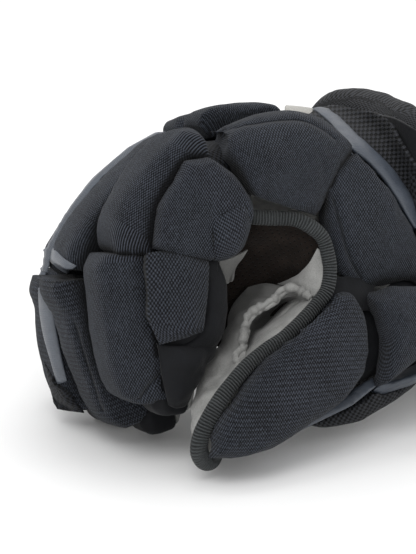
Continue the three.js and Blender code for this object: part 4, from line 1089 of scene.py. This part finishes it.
PATCHES = {
    "web_gusset_cloth": {
        "look": "gusset", "node": "web_gusset", "flat": (0.045, 0.07), "held": "stretched",
        "rests_on": ["web_binding_ribbed"], "thickness": 1.4, "folds": 1.2,
        "rows": [
            [(236, 210, -44), (262, 217, -55), (288, 218, -59), (316, 232, -61)],
            [(226, 232, -38), (256, 234, -49), (288, 238, -54), (324, 250, -61)],
            [(217, 256, -30), (248, 258, -38), (284, 262, -46), (318, 268, -58)],
            [(211, 282, -25), (238, 282, -30), (272, 284, -36), (308, 290, -52)],
            [(208, 312, -22), (226, 310, -24), (256, 306, -28), (290, 306, -42)],
            [(206, 350, -24), (214, 348, -25), (236, 340, -28), (262, 336, -36)],
        ],
    },
    "web_suede_triangle": {
        "look": "suede", "thickness": 1.0, "folds": 0.8,
        "rows": [
            [(317, 249, -63), (320, 250, -63.5), (325, 252, -64)],
            [(306, 267, -57), (314, 266, -61), (326, 266, -65)],
            [(291, 278, -50), (304, 279, -58), (324, 281, -66)],
            [(277, 284, -43), (292, 288, -52), (314, 297, -65)],
        ],
    },
    "thumb_web_suede": {
        "look": "suede", "node": "thumb_web", "flat": (0.028, 0.075), "held": "gathered",
        "rests_on": ["web_binding_ribbed"], "thickness": 1.6, "folds": 1.6,
        "rows": [
            [(248, 287, -33), (262, 284, -37), (280, 285, -44), (300, 292, -54)],
            [(240, 295, -31), (254, 295, -38), (268, 296, -44), (282, 296, -50)],
            [(233, 305, -31), (243, 306, -38), (254, 306, -44), (267, 306, -49)],
            [(228, 318, -33), (236, 320, -40), (243, 320, -46), (253, 318, -49)],
            [(223, 334, -36), (230, 336, -43), (237, 336, -48), (247, 334, -50)],
            [(215, 350, -40), (224, 350, -46), (233, 350, -50), (246, 350, -54)],
            [(207, 366, -44), (217, 366, -51), (228, 367, -57), (242, 366, -66)],
            [(199, 383, -49), (208, 384, -56), (218, 385, -64), (231, 382, -71)],
            [(193, 400, -54), (200, 402, -61), (208, 403, -67), (218, 400, -74)],
            [(190, 418, -59), (195, 420, -64), (201, 421, -70), (209, 418, -75)],
            [(191, 438, -63), (195, 439, -67), (199, 440, -71), (204, 438, -75)],
        ],
    },
    "thumb_inner_suede": {
        "look": "suede", "thickness": 1.2, "folds": 1.0,
        "rows": [
            [(304, 293, -58), (308, 296, -62), (313, 299, -66), (320, 302, -68)],
            [(290, 291, -52), (294, 301, -46), (302, 306, -63), (312, 312, -69)],
            [(275, 297, -47), (280, 310, -36), (289, 315, -62), (300, 324, -70)],
            [(260, 307, -46), (266, 320, -36), (275, 328, -62), (285, 338, -71)],
            [(248, 318, -47), (253, 331, -40), (262, 340, -63), (271, 350, -72)],
            [(243, 335, -48), (247, 346, -46), (252, 352, -64), (259, 359, -72)],
            [(236, 352, -50), (240, 358, -56), (244, 363, -66), (249, 368, -72)],
        ],
    },
    "index_palm_fold": {
        "look": "suede", "thickness": 1.2, "folds": 0.15,
        "rows": [
            [(218, 262, -47), (232, 258, -46), (248, 250, -47)],
            [(221, 268, -46), (232, 264, -45), (243, 258, -46)],
            [(224, 275, -45), (230, 272, -44), (237, 266, -45)],
            [(227, 284, -44), (229, 283, -43), (231, 279, -44)],
        ],
    },
    "index_side_lower_cover": {
        "look": "coarse", "node": "index_side_pad_lower", "thickness": 7, "bulge": 2.2, "folds": 0.4,
        "rows": [
            [(147, 253, -63), (163, 251, -64), (186, 253, -64), (209, 261, -63)],
            [(147, 268, -65), (163, 268, -66), (186, 270, -66), (209, 276, -65)],
            [(148, 295, -65), (165, 297, -67), (186, 299, -67), (207, 302, -65)],
            [(150, 322, -65), (166, 326, -66), (186, 327, -66), (204, 327, -65)],
            [(160, 345, -63), (170, 342, -64), (186, 338, -64), (202, 332, -63)],
        ],
    },
    "index_side_edge": {
        "look": "cloth", "thickness": 4, "bulge": 1.2, "folds": 0.5,
        "rows": [
            [(205, 259, -58), (212, 262, -58), (219, 262, -56)],
            [(204, 290, -58), (214, 290, -59), (226, 284, -55)],
            [(202, 320, -58), (213, 320, -59), (227, 312, -54)],
            [(190, 340, -58), (206, 338, -59), (222, 338, -54)],
            [(162, 354, -58), (184, 352, -59), (208, 350, -55)],
        ],
    },
    "index_side_gusset": {
        "look": "knit", "thickness": 6, "bulge": 2.6, "folds": 0.7,
        "rows": [
            [(206, 216, -64), (224, 207, -64), (240, 196, -62), (250, 192, -60)],
            [(206, 228, -65), (224, 222, -66), (240, 212, -65), (252, 206, -61)],
            [(207, 240, -65), (223, 238, -67), (239, 232, -66), (251, 226, -61)],
            [(209, 252, -64), (221, 251, -65), (234, 247, -64), (247, 238, -59)],
            [(213, 261, -61), (221, 261, -62), (231, 258, -60), (242, 248, -55)],
        ],
    },
    "index_tip_cloth": {
        "look": "cloth", "thickness": 3, "bulge": 1.5, "folds": 1.6,
        "rows": [
            [(158, 344, -60), (176, 346, -61), (198, 344, -58), (222, 334, -50)],
            [(160, 358, -60), (178, 360, -62), (198, 359, -59), (214, 354, -51)],
            [(162, 376, -60), (180, 378, -62), (194, 378, -59), (203, 374, -52)],
            [(165, 392, -59), (179, 395, -61), (189, 394, -58), (195, 390, -52)],
            [(168, 405, -57), (176, 409, -58), (183, 407, -56), (188, 402, -51)],
        ],
    },
    "thumb_root_cloth": {
        "look": "cloth", "thickness": 2, "folds": 0.5,
        "rows": [
            [(330, 278, -62), (352, 276, -61), (376, 278, -58)],
            [(330, 292, -66), (354, 292, -66), (374, 294, -62)],
            [(330, 306, -68), (356, 310, -68), (374, 310, -64)],
        ],
    },
    "wrist_mesh_wedge": {
        "look": "mesh", "facing": True, "thickness": 1.6, "folds": 0.4,
        "rows": [
            [(306, 112, 4), (312, 110, 4), (322, 110, 4)],
            [(318, 122, -14), (328, 120, -14), (336, 122, -14)],
            [(330, 132, -30), (340, 132, -30), (347, 135, -30)],
            [(342, 141, -44), (348, 142, -44), (353, 144, -44)],
        ],
    },
    "wrist_mesh_front": {
        "look": "mesh", "facing": True, "thickness": 1.6, "folds": 0.5,
        "rows": [
            [
                (318, 107, 26), (336, 105, 16), (356, 109, -4), (374, 113, -22), (388, 120, -36),
                (398, 140, -48), (424, 180, -62),
            ],
            [
                (326, 116, 8), (344, 117, 0), (362, 123, -14), (380, 132, -28), (390, 143, -38),
                (404, 164, -48), (424, 196, -56),
            ],
            [
                (338, 128, -14), (352, 131, -18), (368, 140, -28), (381, 150, -36), (392, 162, -42),
                (406, 183, -48), (424, 210, -52),
            ],
            [
                (350, 142, -36), (360, 147, -37), (373, 159, -41), (385, 171, -45), (396, 184, -48),
                (409, 203, -50), (424, 226, -50),
            ],
        ],
    },
    # Painted shadow: black cloth put where the inside of the cuff lies in shade.
    "cuff_inside_cloth": {
        "look": "cloth", "thickness": 1.4,
        "rows": [
            [(382, 116, -30), (394, 119, -42), (408, 126, -52), (426, 136, -60)],
            [(386, 124, -32), (398, 130, -44), (412, 142, -54), (426, 156, -61)],
            [(390, 134, -34), (402, 146, -46), (414, 160, -55), (428, 184, -61)],
        ],
    },
    "wrist_strip_front": {
        "look": "strip", "thickness": 1.4, "bulge": 0.6, "folds": 0.3,
        "rows": [
            [(313, 108, 6), (320, 107, 6), (328, 108, 6)],
            [(326, 118, -14), (333, 117, -14), (341, 118, -12)],
            [(338, 131, -34), (346, 130, -34), (354, 131, -32)],
            [(350, 146, -50), (359, 144, -48), (368, 144, -44)],
            [(370, 162, -55), (377, 159, -52), (384, 159, -48)],
            [(388, 183, -57), (395, 180, -54), (401, 179, -50)],
            [(404, 208, -58), (410, 205, -55), (416, 203, -51)],
            [(416, 228, -58), (422, 226, -55), (428, 224, -51)],
        ],
    },
    "backhand_pale_end": {
        "look": "accent", "thickness": 1.4, "bulge": 0.6,
        "rows": [
            [(286, 105, 2), (299, 106, 3), (313, 108, 4)],
            [(286, 113, -2), (299, 114, -1), (312, 115, 0)],
        ],
    },
    "ring_strip_cover": {
        "look": "bright_strip", "node": "ring_tip_strip", "on": ["ring_tip_roll"], "lift": 1.3,
        "thickness": 1.2, "bulge": 0.5,
        "rows": [
            [(38, 288), (43, 286), (49, 286)],
            [(39, 310), (46, 309), (53, 308)],
            [(43, 335), (50, 334), (57, 333)],
            [(50, 360), (56, 359), (62, 358)],
            [(57, 384), (62, 383), (67, 381)],
        ],
    },
    "ring_tip_mesh": {
        "look": "base", "on": ["ring_tip_roll"], "lift": 1.0, "thickness": 1.4, "bulge": 0.8,
        "rows": [
            [(44, 362), (50, 373), (58, 388)],
            [(48, 380), (56, 387), (68, 390)],
            [(52, 396), (62, 399), (76, 402)],
            [(57, 409), (68, 411), (84, 413)],
        ],
    },
    "ring_strip_fold": {
        "look": "bright_strip", "on": ["middle_knuckle_roll", "ring_knuckle_roll"], "lift": 1.2,
        "thickness": 1.6, "bulge": 0.6,
        "rows": [
            [(43, 250), (47, 247), (51, 245)],
            [(48, 259), (53, 255), (57, 252)],
            [(57, 268), (62, 264), (66, 260)],
            [(67, 274), (72, 270), (77, 266)],
        ],
    },
}

RUFFLE = [
    (311, 298, -65), (303, 292, -60), (294, 288, -56), (286, 288, -53), (279, 292, -51),
    (275, 298, -50), (267, 303, -50), (260, 307, -50), (252, 312, -50), (247, 319, -51),
    (245, 328, -51), (243, 339, -52), (242, 349, -53), (237, 354, -55), (238, 362, -62),
]

for name, row in PATCHES.items():
    tree = tree_of(*[pads[node] for node in row["on"]]) if "on" in row else None
    settings = {key: row[key] for key in ("thickness", "bulge", "folds", "lift", "facing") if key in row}
    piece = patch(name, row["rows"], tree=tree, seed=len(name), **settings)
    if name in SEAMS:
        mark_seams(piece, SEAMS[name])
    nodes = [row["node"]] if "node" in row else []
    dress(piece, row["look"], *nodes)
    if row["look"] in ("knit", "coarse"):
        give_shade(piece, all_pads)

for number, (radius, drop) in enumerate([(1.9, 0), (1.1, 3.2)]):
    line = [seen(px + drop * 0.8, py + drop, depth) for px, py, depth in RUFFLE]
    ruffle = tube("web_ruffle_%d" % number, line, radius, waver=0.65, flat=0.8, seed=2 + number)
    dress(ruffle, "suede")

# Floor and light


def floor_material():
    s = Shader("floor", roughness=0.8, specular=0.2)
    return s.finish((0.86, 0.86, 0.86))


def make_stage():
    size = 6.0
    corners = [(-size, -size, 0), (size, -size, 0), (size, size, 0), (-size, size, 0)]
    floor = link("floor", mesh_from("floor", corners, [(0, 1, 2, 3)], smooth=False))
    floor.data.materials.append(floor_material())


def make_light(name, place, target, size, power):
    data = bpy.data.lights.new(name, "AREA")
    data.shape = "SQUARE"
    data.size = size
    data.energy = power
    lamp = bpy.data.objects.new(name, data)
    lamp.location = place
    lamp.rotation_mode = "QUATERNION"
    lamp.rotation_quaternion = (Vector(target) - Vector(place)).to_track_quat("-Z", "Y")
    bpy.context.scene.collection.objects.link(lamp)


def make_world():
    world = bpy.data.worlds.new("studio")
    world.use_nodes = True
    background = world.node_tree.nodes["Background"]
    background.inputs["Color"].default_value = (1, 1, 1, 1)
    background.inputs["Strength"].default_value = 1.0
    bpy.context.scene.world = world


make_stage()
make_world()
make_light("key", (-0.7, -0.7, 1.4), (0, 0, 0.06), 0.8, 8)
make_light("fill", (1.2, -0.8, 0.7), (0, 0, 0.06), 1.0, 1.5)
make_light("top", (0.1, 0.5, 1.4), (0, 0, 0.06), 0.8, 5)
make_camera()
bpy.context.scene.view_settings.view_transform = "Standard"

bpy.context.view_layer.update()
